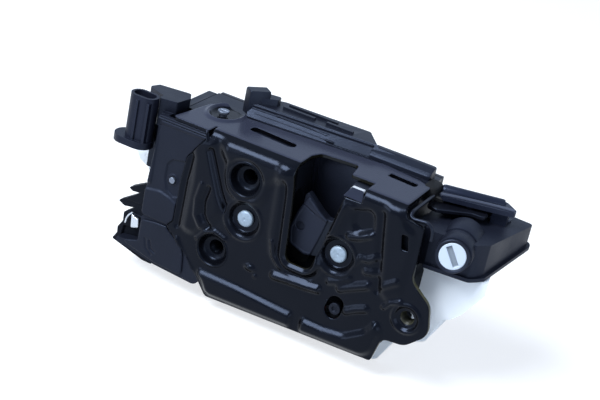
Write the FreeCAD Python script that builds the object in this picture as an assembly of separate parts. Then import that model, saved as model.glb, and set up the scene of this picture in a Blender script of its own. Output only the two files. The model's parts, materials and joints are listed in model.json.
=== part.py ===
import FreeCAD, Part
import math
import os

# Car door lock. Millimetres, +X right along the latch plate, +Y into the door, +Z up to the mouth.
# The origin is the centre of the upper fixing hole on the outer face of the latch plate.

V = FreeCAD.Vector

# Running clearances and seats
gap = 0.3
shaft_play = 0.05
slot_play = 0.35
pin_track_play = 0.25
cut_over = 1.0

# Latch plate: bent steel sheet
sheet = 2.0
flange_top = 16.5
bend_radius = 3.0
face_top = flange_top - bend_radius
under_flange = flange_top - sheet
top_level = under_flange - gap
plate_right = 78.0
plate_bottom = -63.0
bend_left = -22.0
ear = (89.8, -34.3)
ear_radius = 12.0
right_edge = 88.0
flange_depth = 33.0
flange_left = -42.5
flange_right = 77.0

# Fixing holes
hole_a = (0.0, 0.0)
hole_b = (-10.3, -40.9)
thread_radius = 3.4
funnel_radius = 7.75
funnel_depth = 4.0
collar_radius = 5.4
collar_length = 9.0
ear_collar_length = 8.0

# Striker mouth in the face and the flange
mouth_left = 23.5
mouth_right = 47.6
mouth_bottom = -30.8
mouth_depth = 23.6
mouth_wall = 1.6
hook_notch_right = 56.9
hook_notch_depth = 11.6

# Claw and pawl, both in one layer
claw_pivot = (51.0, -18.5)
pawl_pivot = (2.5, -20.0)
shoulder_radius = 5.0
rivet_neck = 3.0
rivet_head = 4.0
dish_depth = 3.2
dish_radius = 8.0
dish_slope = 1.6
skin = 0.8
skin_front = dish_depth + sheet + 0.4
core_front = skin_front + skin
core_back = core_front + 4.0
claw_travel = 65.0
hook_angles = (79.0, 94.0)
horn_angles = (136.6, 140.0)
sweep_margin = 8.0
claw_body_radius = 13.0
hook_radius = 33.4
horn_radius = 30.6
jaw_radius = 27.0
notch_radius = 21.4
buffer_reach = jaw_radius - 2.25
buffer_angle = 208.7
buffer_radius = 4.3
pawl_drop = 12.0
pawl_over = 3.0
pawl_pin = (14.0, -33.0)
pawl_pin_radius = 2.5

# Frame, back plate and lever space
frame_front = sheet + gap
pocket_back = core_back + 0.6
frame_back = 17.0
plate2_front = frame_back + gap
plate2_back = plate2_front + sheet
frame_inset = 2.2
spring_pocket = 9.6
spring_wire = 0.8
spring_radius = 6.8
spring_pitch = 1.9
spring_front = pocket_back + 0.2
lever_sheet = 2.0
release_front = plate2_back + 0.9
lock_front = release_front + lever_sheet + 0.8

# Actuator housing behind the latch
case_front = plate2_back + gap
case_wall = 2.0
web_front = 26.0
web_back = web_front + case_wall
case_back = 48.5
case_left = -46.0
case_right = 66.0
case_bottom = -62.0
roof_top = 22.0
roof_low = 16.2
roof_slope_run = 3.6
roof_slope_from = (-20.0, flange_depth - 2.8)
roof_slope_turn = 5.2
boss_radius = 3.6

# White rear cover
cover_front = frame_back + gap
cover_back = 52.0
cover_wall = 2.0
seal_width = 1.2
cover_left_top = -2.0
cover_right = 117.0
cover_taper = 8.5

# Worm gear
module = 0.8
wheel_teeth = 36
wheel_centre = (-8.0, -20.0)
wheel_mid = 36.0
wheel_width = 3.0
worm_pitch_radius = 3.2
worm_length = 13.0
worm_phase = 305.0
wheel_travel = 40.0
drive_pin_reach = 9.0
drive_pin_radius = 1.8
axle_radius = 2.0

# Lock lever and release lever
lock_pivot = (-8.0, 5.0)
lever_pin_radius = 3.0
release_pivot = (-26.0, -22.0)
release_ratio = 0.36
lock_ratio = 0.257

# Motor
motor_length = 25.0
motor_radius = 11.5
motor_thick = 15.4
motor_left = 14.0
motor_shaft = 1.0

# Side box with the slotted rotor
side_top = 5.6
side_bottom = -12.0
side_front = 12.0
side_back = 58.0
side_left = 79.5
side_wall = 2.0
side_level_to = 15.0
side_rise = 0.146
lip_height = 1.8
lip_reach = 1.6
rotor_face = V(101.4, 5.2, 0.2)
rotor_axis = V(0.2, -0.95, 0.15)
rotor_radius = 6.5
rotor_length = 22.0
barrel_wall = 1.7
barrel_front = V(101.0, 8.0, 0.4)
barrel_run = V(-0.13, 0.99, 0.08)
barrel_length = 19.5
barrel_radius = 8.0

# Left panel, guard and cable clip
panel_left = -51.0
panel_front = 0.8
panel_thick = 2.2
panel_bottom = -38.0
panel_pin_at = (-37.6, -15.2)
panel_pin_radius = 1.6
clip_front = 4.6
clip_back = 9.6

# Inner lever and its hood
hand_pivot = (94.0, 37.4)
hand_front = 8.6
hand_sheet = 1.8
hand_pin_radius = 2.2
hood_low = 12.0
hood_sheet = 2.2
hood_bar_from = V(80.9, 38.6, 13.1)
hood_bar_run = V(27, 8.6, -0.4)
hood_bar_length = 28.0
hood_bar_radius = 2.3

# Connector
connector_front = panel_front + panel_thick + gap
connector_back = 47.0
socket_centre = (-60.5, 3.2)
socket_half_length = 7.0
socket_half_width = 4.6
socket_top = 20.0
socket_base = -2.0
socket_wall = 1.4
socket_floor = 1.5
foot_height = 3.5
pin_count = 6
pin_size = 0.64
pin_pitch = 2.0

# Switches
switch_size = (12.8, 5.6, 6.4)
plunger_radius = 1.1
plunger_reach = 2.0
switch_at = (54.0, -52.6)
lock_switch_at = (-40.0, 33.2, -27.0)

# Screws
screw_head = 3.2
screw_head_height = 2.2
screw_core = 1.6
flange_screw_at = (-28.9, 23.0)
lever_screw_at = (55.5, -44.7)


# Small tools for shapes

def corner(points, index):
    """Tangent points and middle point of the round at one corner of an outline."""
    here = points[index]
    before = points[index - 1]
    after = points[(index + 1) % len(points)]
    p = V(here[0], here[1], 0)
    if len(here) < 3:
        return [p]
    a = (V(before[0], before[1], 0) - p).normalize()
    b = (V(after[0], after[1], 0) - p).normalize()
    half = a.getAngle(b) / 2
    reach = here[2] / math.tan(half)
    bisector = (a + b).normalize()
    centre = p + bisector * (here[2] / math.sin(half))
    return [p + a * reach, centre - bisector * here[2], p + b * reach]


def outline_face(points):
    """Flat face from an outline of (u, v) or (u, v, corner radius) points."""
    rounds = [corner(points, i) for i in range(len(points))]
    edges = []
    for i, r in enumerate(rounds):
        if len(r) == 3:
            edges.append(Part.Arc(r[0], r[1], r[2]).toShape())
        start = r[-1]
        end = rounds[(i + 1) % len(rounds)][0]
        if start.distanceToPoint(end) > 1e-6:
            edges.append(Part.makeLine(start, end))
    return Part.Face(Part.Wire(edges))


def stand_up(face):
    """Turns a face drawn in (x, z) upright, so that its second axis is +Z."""
    upright = face.copy()
    upright.rotate(V(0, 0, 0), V(1, 0, 0), 90)
    return upright


def grown(points, amount):
    """Outline face moved outward by an amount, or inward when it is negative."""
    return outline_face(points).makeOffset2D(amount, 0)


def plate_of(face, y0, y1):
    solid = stand_up(face).extrude(V(0, y1 - y0, 0))
    solid.translate(V(0, y0, 0))
    return solid


def prism(points, y0, y1, grow=0.0):
    """Upright outline in (x, z), from y0 to y1."""
    face = outline_face(points) if grow == 0.0 else grown(points, grow)
    return plate_of(face, y0, y1)


def slab(points, z0, z1, grow=0.0):
    """Lying outline in (x, y), from z0 to z1."""
    face = outline_face(points) if grow == 0.0 else grown(points, grow)
    solid = face.extrude(V(0, 0, z1 - z0))
    solid.translate(V(0, 0, z0))
    return solid


def block(x0, x1, y0, y1, z0, z1):
    return Part.makeBox(x1 - x0, y1 - y0, z1 - z0, V(x0, y0, z0))


def rod(centre, radius, y0, y1):
    """Cylinder along Y round an (x, z) centre."""
    return Part.makeCylinder(radius, y1 - y0, V(centre[0], y0, centre[1]), V(0, 1, 0))


def cone(centre, r0, r1, y0, y1):
    return Part.makeCone(r0, r1, y1 - y0, V(centre[0], y0, centre[1]), V(0, 1, 0))


def polar(centre, radius, degrees):
    a = math.radians(degrees)
    return (centre[0] + radius * math.cos(a), centre[1] + radius * math.sin(a))


def turned(point, centre, degrees):
    """An (x, z) point turned counter-clockwise as seen from the front."""
    a = math.radians(degrees)
    dx = point[0] - centre[0]
    dz = point[1] - centre[1]
    return (centre[0] + dx * math.cos(a) - dz * math.sin(a),
            centre[1] + dx * math.sin(a) + dz * math.cos(a))


def turn(shape, centre, degrees):
    """A shape turned counter-clockwise as seen from the front."""
    copy = shape.copy()
    copy.rotate(V(centre[0], 0, centre[1]), V(0, -1, 0), degrees)
    return copy


def channel(points, radius, y0, y1):
    """Round-ended groove through a row of (x, z) points."""
    solid = rod(points[0], radius, y0, y1)
    for a, b in zip(points, points[1:]):
        run = math.hypot(b[0] - a[0], b[1] - a[1])
        solid = solid.fuse(rod(b, radius, y0, y1))
        if run > 1e-6:
            bar = Part.makeBox(run, y1 - y0, 2 * radius, V(0, y0, -radius))
            bar.rotate(V(0, 0, 0), V(0, -1, 0), math.degrees(math.atan2(b[1] - a[1], b[0] - a[0])))
            bar.translate(V(a[0], 0, a[1]))
            solid = solid.fuse(bar)
    return solid


def steps(low, high, count):
    return [low + (high - low) * i / count for i in range(count + 1)]


def one(shape):
    """The single solid of a shape, or all its solids where it is a group."""
    shape = shape.removeSplitter()
    if len(shape.Solids) == 1:
        return shape.Solids[0]
    return Part.makeCompound(shape.Solids)


def save(name, shape):
    shape = one(shape)
    shape.exportStep("parts/" + name + ".step")
    print(name, len(shape.Solids), round(shape.Volume), shape.isValid())


# Shared outlines, (x, z) unless said otherwise

PLATE = [(bend_left, face_top), (plate_right, face_top), (plate_right + 1, 11.4), (right_edge - 0.5, 10, 2),
         (right_edge, -15.8, 6), (ear[0] + ear_radius * 0.75, ear[1] + ear_radius * 0.85, 7),
         (ear[0] + ear_radius * 0.98, ear[1] - 4, 8), (ear[0] + 2, ear[1] - ear_radius * 1.12, 8),
         (plate_right + 3, ear[1] - ear_radius - 2.5, 4), (plate_right, plate_bottom + 1.1, 1.5),
         (20.9, plate_bottom - 1.5), (-9.9, plate_bottom - 2.9, 3), (-14.7, -60, 4), (-25.7, -47, 5),
         (-37, -39, 2), (-33.4, -35, 2), (-33.2, -13, 6), (-31.8, -0.7, 4)]

MOUTH = [(mouth_left - 1, face_top + 8), (mouth_left + 1.4, -0.7, 20), (mouth_left + 3.6, mouth_bottom, 4),
         (mouth_right - 7.8, mouth_bottom, 4.5), (mouth_right - 2.4, -7.6, 20),
         (mouth_right + 2, face_top + 8)]

FLANGE = [(flange_left, 0.0, 2), (flange_left + 3.5, flange_depth - 5, 4),
          (flange_left + 9, flange_depth + 0.5, 4), (flange_left + 17, flange_depth, 3),
          (flange_left + 24, flange_depth - 5.3, 4), (46.2, flange_depth + 1.2),
          (51, flange_depth + 2.1, 2), (69.9, flange_depth - 0.5, 3), (flange_right, flange_depth - 3.6, 3),
          (flange_right, 0.0)]

CASE = [(case_left, -50, 4), (-20, case_bottom + 1, 6), (case_right - 20, case_bottom, 6),
        (case_right, case_bottom, 5), (case_right, -10, 2), (case_right + 9, -8, 2),
        (case_right + 9, top_level), (case_left, top_level)]

ROOF = [(-20, flange_depth - 3.4), (14.9, flange_depth - 0.8), (46.2, flange_depth + 2.2),
        (51, flange_depth + 3.1), (70, flange_depth + 1.2), (case_right + 8.5, flange_depth - 0.5),
        (case_right + 6.5, flange_depth + 7.4, 2), (44, flange_depth + 6.1, 2),
        (34.7, flange_depth + 18.5, 2),
        (12.9, flange_depth + 17, 3), (-9.8, flange_depth + 16, 3), (-25.5, flange_depth + 9, 3)]

COVER = [(-70, -14, 2), (-66, -20), (-61, -22, 1), (-58, -26), (-56, -50, 4), (-50, -62, 5), (-20, -67, 4),
         (40, -69.5, 4), (75, -71, 4), (81, -58, 5), (96, -51, 3), (100.5, -37.5, 3), (104.5, -35.5),
         (109, -31, 3),
         (cover_right, -18, 3), (cover_right, side_top), (case_right - 6, side_top),
         (case_right - 6, cover_left_top), (-60, cover_left_top, 3), (-70, -8, 3)]


# Latch plate

def dish(centre, radius, depth, slope):
    """Pressed round dish: the tool that fills it, and the sheet that it leaves behind."""
    hollow = cone(centre, radius + slope, radius, -0.01, depth)
    back = cone(centre, radius + slope + sheet * 0.6, radius + sheet, sheet * 0.6, depth + sheet)
    return hollow, back


def rivet_dishes():
    return [dish(pawl_pivot, dish_radius - dish_slope, dish_depth, dish_slope),
            dish(claw_pivot, dish_radius - dish_slope, dish_depth, dish_slope)]


def funnel(centre, length):
    """Cone recess with a threaded collar behind it."""
    inner = collar_radius - 0.6
    hollow = cone(centre, funnel_radius, inner, -0.01, funnel_depth)
    back = cone(centre, funnel_radius + sheet * 0.6, inner + sheet, sheet * 0.5, funnel_depth + sheet * 0.5)
    collar = rod(centre, collar_radius, funnel_depth, funnel_depth + length)
    bore = rod(centre, thread_radius, -cut_over, funnel_depth + length + cut_over)
    return hollow, back.fuse(collar), bore


def latch_plate():
    face = prism(PLATE, 0, sheet)
    bend = Part.makeCylinder(bend_radius, plate_right - bend_left,
                             V(bend_left, bend_radius, face_top), V(1, 0, 0))
    bend = bend.cut(Part.makeCylinder(bend_radius - sheet, plate_right - bend_left + 2 * cut_over,
                                      V(bend_left - cut_over, bend_radius, face_top), V(1, 0, 0)))
    bend = bend.common(block(bend_left, plate_right, 0, bend_radius, face_top, flange_top))
    top = slab(FLANGE, under_flange, flange_top)
    low = under_flange - cut_over
    high = flange_top + cut_over
    top = top.cut(block(bend_left, plate_right, -cut_over, bend_radius, low, high))
    plate = face.fuse(bend).fuse(top)
    hollows = []
    for hollow, back in rivet_dishes():
        plate = plate.fuse(back)
        hollows.append(hollow)
    for centre in (hole_a, hole_b):
        hollow, back, bore = funnel(centre, collar_length)
        plate = plate.fuse(back)
        hollows.append(hollow)
        hollows.append(bore)
    plate = plate.fuse(rod(ear, collar_radius + 1.2, 0, ear_collar_length))
    hollows.append(rod(ear, thread_radius, -cut_over, ear_collar_length + cut_over))
    hollows.append(prism(MOUTH, -cut_over, sheet + cut_over))
    for centre in (claw_pivot, pawl_pivot):
        hollows.append(rod(centre, rivet_neck + shaft_play, -cut_over, dish_depth + sheet + cut_over))
    mouth_cut = [(mouth_left, -cut_over), (hook_notch_right, -cut_over), (hook_notch_right, hook_notch_depth),
                 (mouth_right - 2.2, hook_notch_depth), (mouth_right - 4.4, mouth_depth, 2),
                 (mouth_left + 2, mouth_depth - 2.6, 3), (mouth_left - 0.4, mouth_depth - 9)]
    hollows.append(slab(mouth_cut, face_top - 3.4, flange_top + cut_over))
    hollows.append(slab([(-11, 17.6, 1.6), (13, 16.4, 1.6), (13, 20.2, 1.6), (-11, 21.4, 1.6)],
                        under_flange - cut_over, flange_top + cut_over))
    hollows.append(slab([(57.5, 24.4), (71.4, 23.4), (71.4, 27.4), (57.5, 28.4)],
                        under_flange - cut_over, flange_top + cut_over))
    hollows.append(rod_z(flange_screw_at, screw_core + 0.2, under_flange - cut_over, flange_top + cut_over))
    hollows.append(prism([(78.6, 4.2), (81.8, 4.2), (83.3, -2.8), (80, -2.8)], -cut_over, sheet + cut_over))
    hollows.append(channel([(53.6, -42.4), (57.4, -47.0)], 3.4, -cut_over, sheet + cut_over))
    for tool in hollows:
        plate = plate.cut(tool)
    return plate


def rod_z(centre, radius, z0, z1):
    """Cylinder along Z round an (x, y) centre."""
    return Part.makeCylinder(radius, z1 - z0, V(centre[0], centre[1], z0), V(0, 0, 1))


# Claw

def claw_outline(tip, horn, notch):
    """Catch in its open position, drawn by angle and radius about its pivot."""
    def at(radius, degrees, round_radius=None):
        x, z = polar(claw_pivot, radius, degrees)
        return (x, z) if round_radius is None else (x, z, round_radius)
    body = claw_body_radius
    points = [at(tip, hook_angles[0], 1.5), at(tip, hook_angles[1], 1.5), at(24, 101, 2), at(15, 108, 3),
              at(15, 130, 3), at(20, 134.6, 4), at(horn, horn_angles[0], 0.7), at(horn, horn_angles[1], 0.7),
              at(jaw_radius + 0.6, 149, 1)]
    if notch:
        points += [at(jaw_radius - 0.4, 151.5, 0.7), at(notch_radius, 152, 1), at(notch_radius, 162.5, 1),
                   at(jaw_radius, 162.5, 0.7)]
    else:
        points += [at(jaw_radius + 0.4, 156)]
    points += [at(jaw_radius + 0.7, 176), at(jaw_radius, 193, 3), at(20, 206, 4), at(body, 214, 3)]
    points += [at(body, 240), at(body, 270), at(body, 300), at(body, 330), at(body, 0), at(body + 1, 30),
               at(body + 4, 60, 4)]
    return points


def claw_bore(y0, y1):
    return rod(claw_pivot, shoulder_radius + shaft_play, y0 - cut_over, y1 + cut_over)


def claw_core():
    claw = prism(claw_outline(hook_radius, horn_radius, True), core_front, core_back)
    return claw.cut(claw_bore(core_front, core_back))


def claw_jacket():
    jacket = prism(claw_outline(hook_radius - 3, horn_radius - 2.2, False), skin_front, core_front)
    hole = rod((27.9, -15.2), 2.2, skin_front - cut_over, core_front + cut_over)
    return jacket.cut(claw_bore(skin_front, core_front)).cut(hole)


def pivot_rivet(centre):
    """Rivet with a low front head, a bearing shoulder for its part, and a rear head."""
    head = cone(centre, rivet_head - 0.5, rivet_head, dish_depth - 1.9, dish_depth - 1.1)
    head = head.fuse(rod(centre, rivet_head, dish_depth - 1.1, dish_depth))
    neck = rod(centre, rivet_neck, dish_depth, plate2_back)
    shoulder = rod(centre, shoulder_radius, dish_depth + sheet, plate2_front)
    tail = rod(centre, rivet_head, plate2_back, plate2_back + 0.5)
    return head.fuse(neck).fuse(shoulder).fuse(tail)


def torsion_spring(centre, leg_a, leg_b):
    """Coil round a pivot with one leg at each end."""
    height = frame_back - spring_front - 2 * spring_wire - gap
    start = V(centre[0] + spring_radius, spring_front + spring_wire, centre[1])
    helix = Part.makeHelix(spring_pitch, height, spring_radius)
    helix.rotate(V(0, 0, 0), V(1, 0, 0), -90)
    helix.translate(V(centre[0], start.y, centre[1]))
    ring = Part.Wire(Part.Circle(start, V(0, 0, 1), spring_wire / 2).toShape())
    coil = Part.Wire(helix.Edges).makePipeShell([ring], True, True)
    ends = helix.Edges[-1].Vertexes
    last = max((v.Point for v in ends), key=lambda p: p.y)
    for point, reach in ((start, leg_a), (last, leg_b)):
        leg = Part.makeCylinder(spring_wire / 2, reach[0], point, V(reach[1], 0, reach[2]))
        coil = coil.fuse(leg)
        coil = coil.fuse(Part.makeSphere(spring_wire / 2, point))
    return coil


# Pawl: drawn dropped into the claw, then lifted to where the open latch holds it

PAWL = [(pawl_pivot[0] + 7.5, pawl_pivot[1] + 5, 7), (17, -26.6, 4), (21.2, -32.6, 2), (24.4, -36.2, 1),
        (29.2, -35.2, 1), polar(claw_pivot, notch_radius + 0.5, 218) + (1,),
        polar(claw_pivot, notch_radius + 0.5, 225.6) + (1,), (32.6, -38.6, 2), (33, -41.4, 3), (24, -43.2, 4),
        (8, -37, 6), (pawl_pivot[0] - 7, pawl_pivot[1] - 5, 6), (pawl_pivot[0] - 6, pawl_pivot[1] + 7, 6),
        (pawl_pivot[0] + 3, pawl_pivot[1] + 9, 4)]


def pawl_bore():
    return rod(pawl_pivot, shoulder_radius + shaft_play, skin_front - cut_over, core_back + cut_over)


def pawl_core():
    pawl = prism(PAWL, core_front, core_back)
    pin = rod(pawl_pin, pawl_pin_radius, core_back, release_front + lever_sheet + 0.4)
    return turn(pawl.fuse(pin).cut(pawl_bore()), pawl_pivot, -pawl_drop)


def pawl_jacket():
    cover = prism(PAWL, skin_front, core_front, -1.2)
    cover = cover.cut(rod(claw_pivot, jaw_radius + 2.5, skin_front - 1, core_front + 1))
    return turn(cover.cut(pawl_bore()), pawl_pivot, -pawl_drop)


def pawl_pin_track(margin, y0, y1):
    """Groove that the pawl's pin sweeps in a still part."""
    low = -pawl_drop - pawl_over
    points = [turned(pawl_pin, pawl_pivot, a) for a in steps(low, 0.0, 4)]
    return channel(points, pawl_pin_radius + margin, y0, y1)


# Latch frame

def swept(angles, count):
    """Angles that a part of the claw passes over its travel, with a margin."""
    return steps(angles[0] - sweep_margin, angles[1] + claw_travel + sweep_margin, count)


def sweep_pocket(y0, y1):
    """Room for the claw and the pawl over their whole travel."""
    room = rod(claw_pivot, jaw_radius + 1.6, y0, y1)
    horn = horn_radius + 0.8
    horn_room = [polar(claw_pivot, 4, 100)]
    horn_room += [polar(claw_pivot, horn, a) for a in swept(horn_angles, 6)]
    room = room.fuse(prism(horn_room, y0, y1))
    hook = hook_radius + 1.2
    hook_room = [polar(claw_pivot, 4, 0)]
    hook_room += [polar(claw_pivot, hook, a) for a in swept(hook_angles, 8)]
    room = room.fuse(prism(hook_room, y0, y1))
    for lift in steps(-pawl_drop - pawl_over, 0.0, 3):
        room = room.fuse(turn(prism(PAWL, y0, y1, 0.8), pawl_pivot, lift))
    return room


def mouth_hollow(y0, y1, grow=0.0):
    return prism(MOUTH, y0, y1, grow)


def frame_outline_solid(y0, y1):
    body = prism(PLATE, y0, y1, -frame_inset)
    band = block(bend_left + 1, plate_right - 1, y0, y1, 0, top_level)
    return body.fuse(band)


def collar_holes(y0, y1):
    return [rod(c, collar_radius + gap, y0, y1) for c in (hole_a, hole_b)]


def latch_frame():
    body = frame_outline_solid(frame_front, frame_back)
    body = body.common(block(-60, right_edge - 1, 0, 60, -80, top_level))
    body = body.cut(sweep_pocket(0, pocket_back))
    body = body.cut(mouth_hollow(0, frame_back + cut_over))
    body = body.cut(Part.makeCylinder(0.6, 200, V(-60, frame_front, top_level), V(1, 0, 0)))
    for hollow, back in rivet_dishes():
        body = body.cut(back.makeOffsetShape(gap, 0.01, join=2))
    for centre in (hole_a, hole_b):
        body = body.cut(rod(centre, funnel_radius + sheet * 0.6 + gap, 0, funnel_depth + sheet * 0.5 + gap))
    for tool in collar_holes(0, frame_back + cut_over):
        body = body.cut(tool)
    body = body.cut(rod(ear, collar_radius + 1.2 + gap, 0, frame_back + cut_over))
    for centre in (claw_pivot, pawl_pivot):
        body = body.cut(rod(centre, spring_pocket, pocket_back - cut_over, frame_back + cut_over))
    body = body.cut(pawl_pin_track(slot_play, 0, frame_back + cut_over))
    body = body.cut(rod(buffer_at(), buffer_radius, pocket_back - 1, frame_back + cut_over))
    body = body.cut(switch_room())
    body = body.cut(block(side_left - 2, 100, side_front - 3, 30, side_bottom - gap, 20))
    body = body.cut(rod(lever_screw_at, screw_core, 0, frame_back - 2))
    return max(one(body).Solids, key=lambda s: s.Volume)


def buffer_at():
    return polar(claw_pivot, buffer_reach, buffer_angle)


def striker_buffer():
    """Rubber stop behind the claw that the striker runs against."""
    return rod(buffer_at(), buffer_radius, pocket_back, frame_back - gap)


def switch_room():
    w, d, h = switch_size
    x, z = switch_at
    return block(x - w / 2 - gap, x + w / 2 + gap, 0, core_back + 0.2, z - h / 2 - gap, z + h / 2 + 8)


def back_plate():
    """Steel plate behind the frame that carries the tails of both pivots and the lever pins."""
    right = case_right - 1
    outline = [(-34, -10, 4), (-34, -32, 4), (-18, -54, 6), (20, -59, 4), (60, -57, 6), (right, -30, 6),
               (right, 10, 4), (-22, 10, 4)]
    plate = prism(outline, plate2_front, plate2_back)
    plate = plate.cut(mouth_hollow(plate2_front - cut_over, plate2_back + cut_over, mouth_wall + gap))
    for centre in (claw_pivot, pawl_pivot):
        hole = rod(centre, rivet_neck + shaft_play, plate2_front - cut_over, plate2_back + cut_over)
        plate = plate.cut(hole)
    for centre in (lock_pivot, release_pivot):
        plate = plate.cut(rod(centre, axle_radius, plate2_front - cut_over, plate2_back + cut_over))
    plate = plate.cut(pawl_pin_track(slot_play, plate2_front - cut_over, plate2_back + cut_over))
    return plate


# Levers

def pin_track_in_lever(pin_at, lever_centre, lever_at, travel, radius, y0, y1):
    """Groove in a coupled lever, from where the pin stands over the travel."""
    points = []
    for a in travel:
        points.append(turned(pin_at(a), lever_centre, -lever_at(a)))
    return channel(points, radius, y0, y1)


def rest_pin(a):
    """Pawl pin, a degrees from its rest with the pawl lifted."""
    return turned(pawl_pin, pawl_pivot, a - pawl_drop)


def release_lever():
    tip = rest_pin(0)
    y0 = release_front
    y1 = release_front + lever_sheet
    arm = [(release_pivot[0] - 5, release_pivot[1] + 7, 5), (release_pivot[0] + 7, release_pivot[1] + 5, 5),
           (tip[0] + 6, tip[1] + 6.4, 4), (tip[0] + 8.6, tip[1] - 3, 4), (tip[0] - 4, tip[1] - 7.6, 4),
           (release_pivot[0] - 2, release_pivot[1] - 8, 5), (-37, -35, 3), (-42, -31, 3),
           (release_pivot[0] - 8, release_pivot[1] - 2, 4)]
    lever = prism(arm, y0, y1)
    lever = lever.cut(rod(release_pivot, lever_pin_radius + shaft_play, y0 - cut_over, y1 + cut_over))
    travel = steps(-pawl_over, pawl_drop, 5)
    track = pin_track_in_lever(rest_pin, release_pivot, lambda a: a * release_ratio, travel,
                               pawl_pin_radius + slot_play, y0 - cut_over, y1 + cut_over)
    return lever.cut(track)


def lever_pin(centre, y1):
    """Pin riveted into the back plate: neck, bearing and head."""
    neck = rod(centre, axle_radius, plate2_front, plate2_back)
    bearing = rod(centre, lever_pin_radius, plate2_back, y1)
    washer = rod(centre, lever_pin_radius + 1.5, plate2_back, release_front - 0.2)
    return neck.fuse(bearing).fuse(washer)


def release_pin():
    top = release_front + lever_sheet + 0.2
    return lever_pin(release_pivot, top).fuse(rod(release_pivot, lever_pin_radius + 1.2, top, top + 0.6))


def lock_pin():
    top = lock_front + lever_sheet + 0.1
    collar = rod(lock_pivot, lever_pin_radius + 1.5, plate2_back, lock_front - 0.2)
    return lever_pin(lock_pivot, top).fuse(collar)


def wheel_pin(a):
    """Drive pin of the worm wheel, a degrees from its rest straight below the centre."""
    return polar(wheel_centre, drive_pin_reach, -90 + a)


def lock_lever():
    y0 = lock_front
    y1 = lock_front + lever_sheet
    x, z = lock_pivot
    arm = [(x - 6, z + 6, 5), (x + 6, z + 6, 5), (x + 5.5, -28, 2), (x + 4.5, -35.5, 3), (x - 4.5, -35.5, 3),
           (x - 5.5, -28, 2), (x - 6.5, -5, 3), (x - 15, -3, 2), (x - 16, 3.4, 2), (x - 8, 3.2, 2)]
    lever = prism(arm, y0, y1)
    lever = lever.cut(rod(lock_pivot, lever_pin_radius + shaft_play, y0 - cut_over, y1 + cut_over))
    travel = steps(-wheel_travel, wheel_travel, 10)
    track = pin_track_in_lever(wheel_pin, lock_pivot, lambda a: a * lock_ratio, travel,
                               drive_pin_radius + pin_track_play, y0 - cut_over, y1 + cut_over)
    return lever.cut(track)


# Worm drive

def worm_wheel():
    root = module * (wheel_teeth / 2 - 1.2)
    tip = module * (wheel_teeth / 2 + 0.9)
    y0 = wheel_mid - wheel_width / 2
    y1 = wheel_mid + wheel_width / 2
    wheel = rod(wheel_centre, root, y0, y1)
    pitch_angle = 360.0 / wheel_teeth
    pitch_radius = module * wheel_teeth / 2
    half_root = 0.62
    half_pitch = 0.45
    half_tip = 0.24
    outline = [(root - 0.5, -half_root), (pitch_radius, -half_pitch), (tip, -half_tip), (tip, half_tip),
               (pitch_radius, half_pitch), (root - 0.5, half_root)]
    tooth = plate_of(outline_face(outline), y0, y1)
    tooth.translate(V(wheel_centre[0], 0, wheel_centre[1]))
    teeth = [turn(tooth, wheel_centre, -90 + pitch_angle * i) for i in range(wheel_teeth)]
    wheel = wheel.multiFuse(teeth)
    hub = rod(wheel_centre, 4.4, web_back + 0.5, y1 + 1.5)
    arm_floor = rod(wheel_centre, drive_pin_reach + 3.0, y0 - 1.5, y0)
    pin = rod(wheel_pin(0), drive_pin_radius, lock_front - 0.5, y0)
    wheel = wheel.fuse(hub).fuse(arm_floor).fuse(pin)
    return wheel.cut(rod(wheel_centre, axle_radius + shaft_play, 0, 60))


worm_z = wheel_centre[1] - module * wheel_teeth / 2 - worm_pitch_radius


def worm():
    """Single-start worm on the motor's shaft, below the wheel."""
    pitch = math.pi * module
    root = worm_pitch_radius - 0.9
    tip = worm_pitch_radius + 0.62
    left = wheel_centre[0] - worm_length / 2
    turns_height = worm_length - pitch
    helix = Part.makeHelix(pitch, turns_height, root)
    points = [V(root - 0.3, 0, -0.66), V(tip, 0, -0.26), V(tip, 0, 0.26), V(root - 0.3, 0, 0.66)]
    section = Part.makePolygon(points + points[:1])
    thread = Part.Wire(helix.Edges).makePipeShell([section], True, True)
    thread.translate(V(0, 0, pitch / 2))
    body = Part.makeCylinder(root, worm_length).fuse(thread)
    body = body.fuse(Part.makeCylinder(root + 0.4, 1.5, V(0, 0, -1.5)))
    body.rotate(V(0, 0, 0), V(0, 1, 0), 90)
    body.rotate(V(0, 0, 0), V(1, 0, 0), worm_phase)
    body.translate(V(left, wheel_mid, worm_z))
    bore = Part.makeCylinder(motor_shaft, 60, V(left - 10, wheel_mid, worm_z), V(1, 0, 0))
    return body.cut(bore)


def drive_shaft():
    """Armature shaft that carries the worm."""
    left = wheel_centre[0] - worm_length / 2 - 5
    return Part.makeCylinder(motor_shaft, motor_left + 12 - left, V(left, wheel_mid, worm_z), V(1, 0, 0))


def motor_can():
    can = Part.makeCylinder(motor_radius, motor_length, V(motor_left, wheel_mid, worm_z), V(1, 0, 0))
    can = can.common(block(0, 80, wheel_mid - motor_thick / 2, wheel_mid + motor_thick / 2, -80, 20))
    nose = Part.makeCylinder(3.2, 1.6, V(motor_left - 1.6, wheel_mid, worm_z), V(1, 0, 0))
    bore = Part.makeCylinder(motor_shaft + shaft_play, 13 + 1.6 + cut_over,
                             V(motor_left - 1.6 - cut_over, wheel_mid, worm_z), V(1, 0, 0))
    return can.fuse(nose).cut(bore)


def motor_cap():
    x = motor_left + motor_length
    cap = Part.makeCylinder(motor_radius - 1, 2.5, V(x, wheel_mid, worm_z), V(1, 0, 0))
    return cap.common(block(0, 80, wheel_mid - motor_thick / 2 + 1, wheel_mid + motor_thick / 2 - 1, -80, 20))


def wheel_axle():
    return rod(wheel_centre, axle_radius, web_back, wheel_mid + 5)


# Housing

def across(points, x0, x1):
    """Outline in (y, z), from x0 to x1."""
    face = outline_face(points)
    face.rotate(V(0, 0, 0), V(1, 1, 1), 120)
    face.translate(V(x0, 0, 0))
    return face.extrude(V(x1 - x0, 0, 0))


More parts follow.
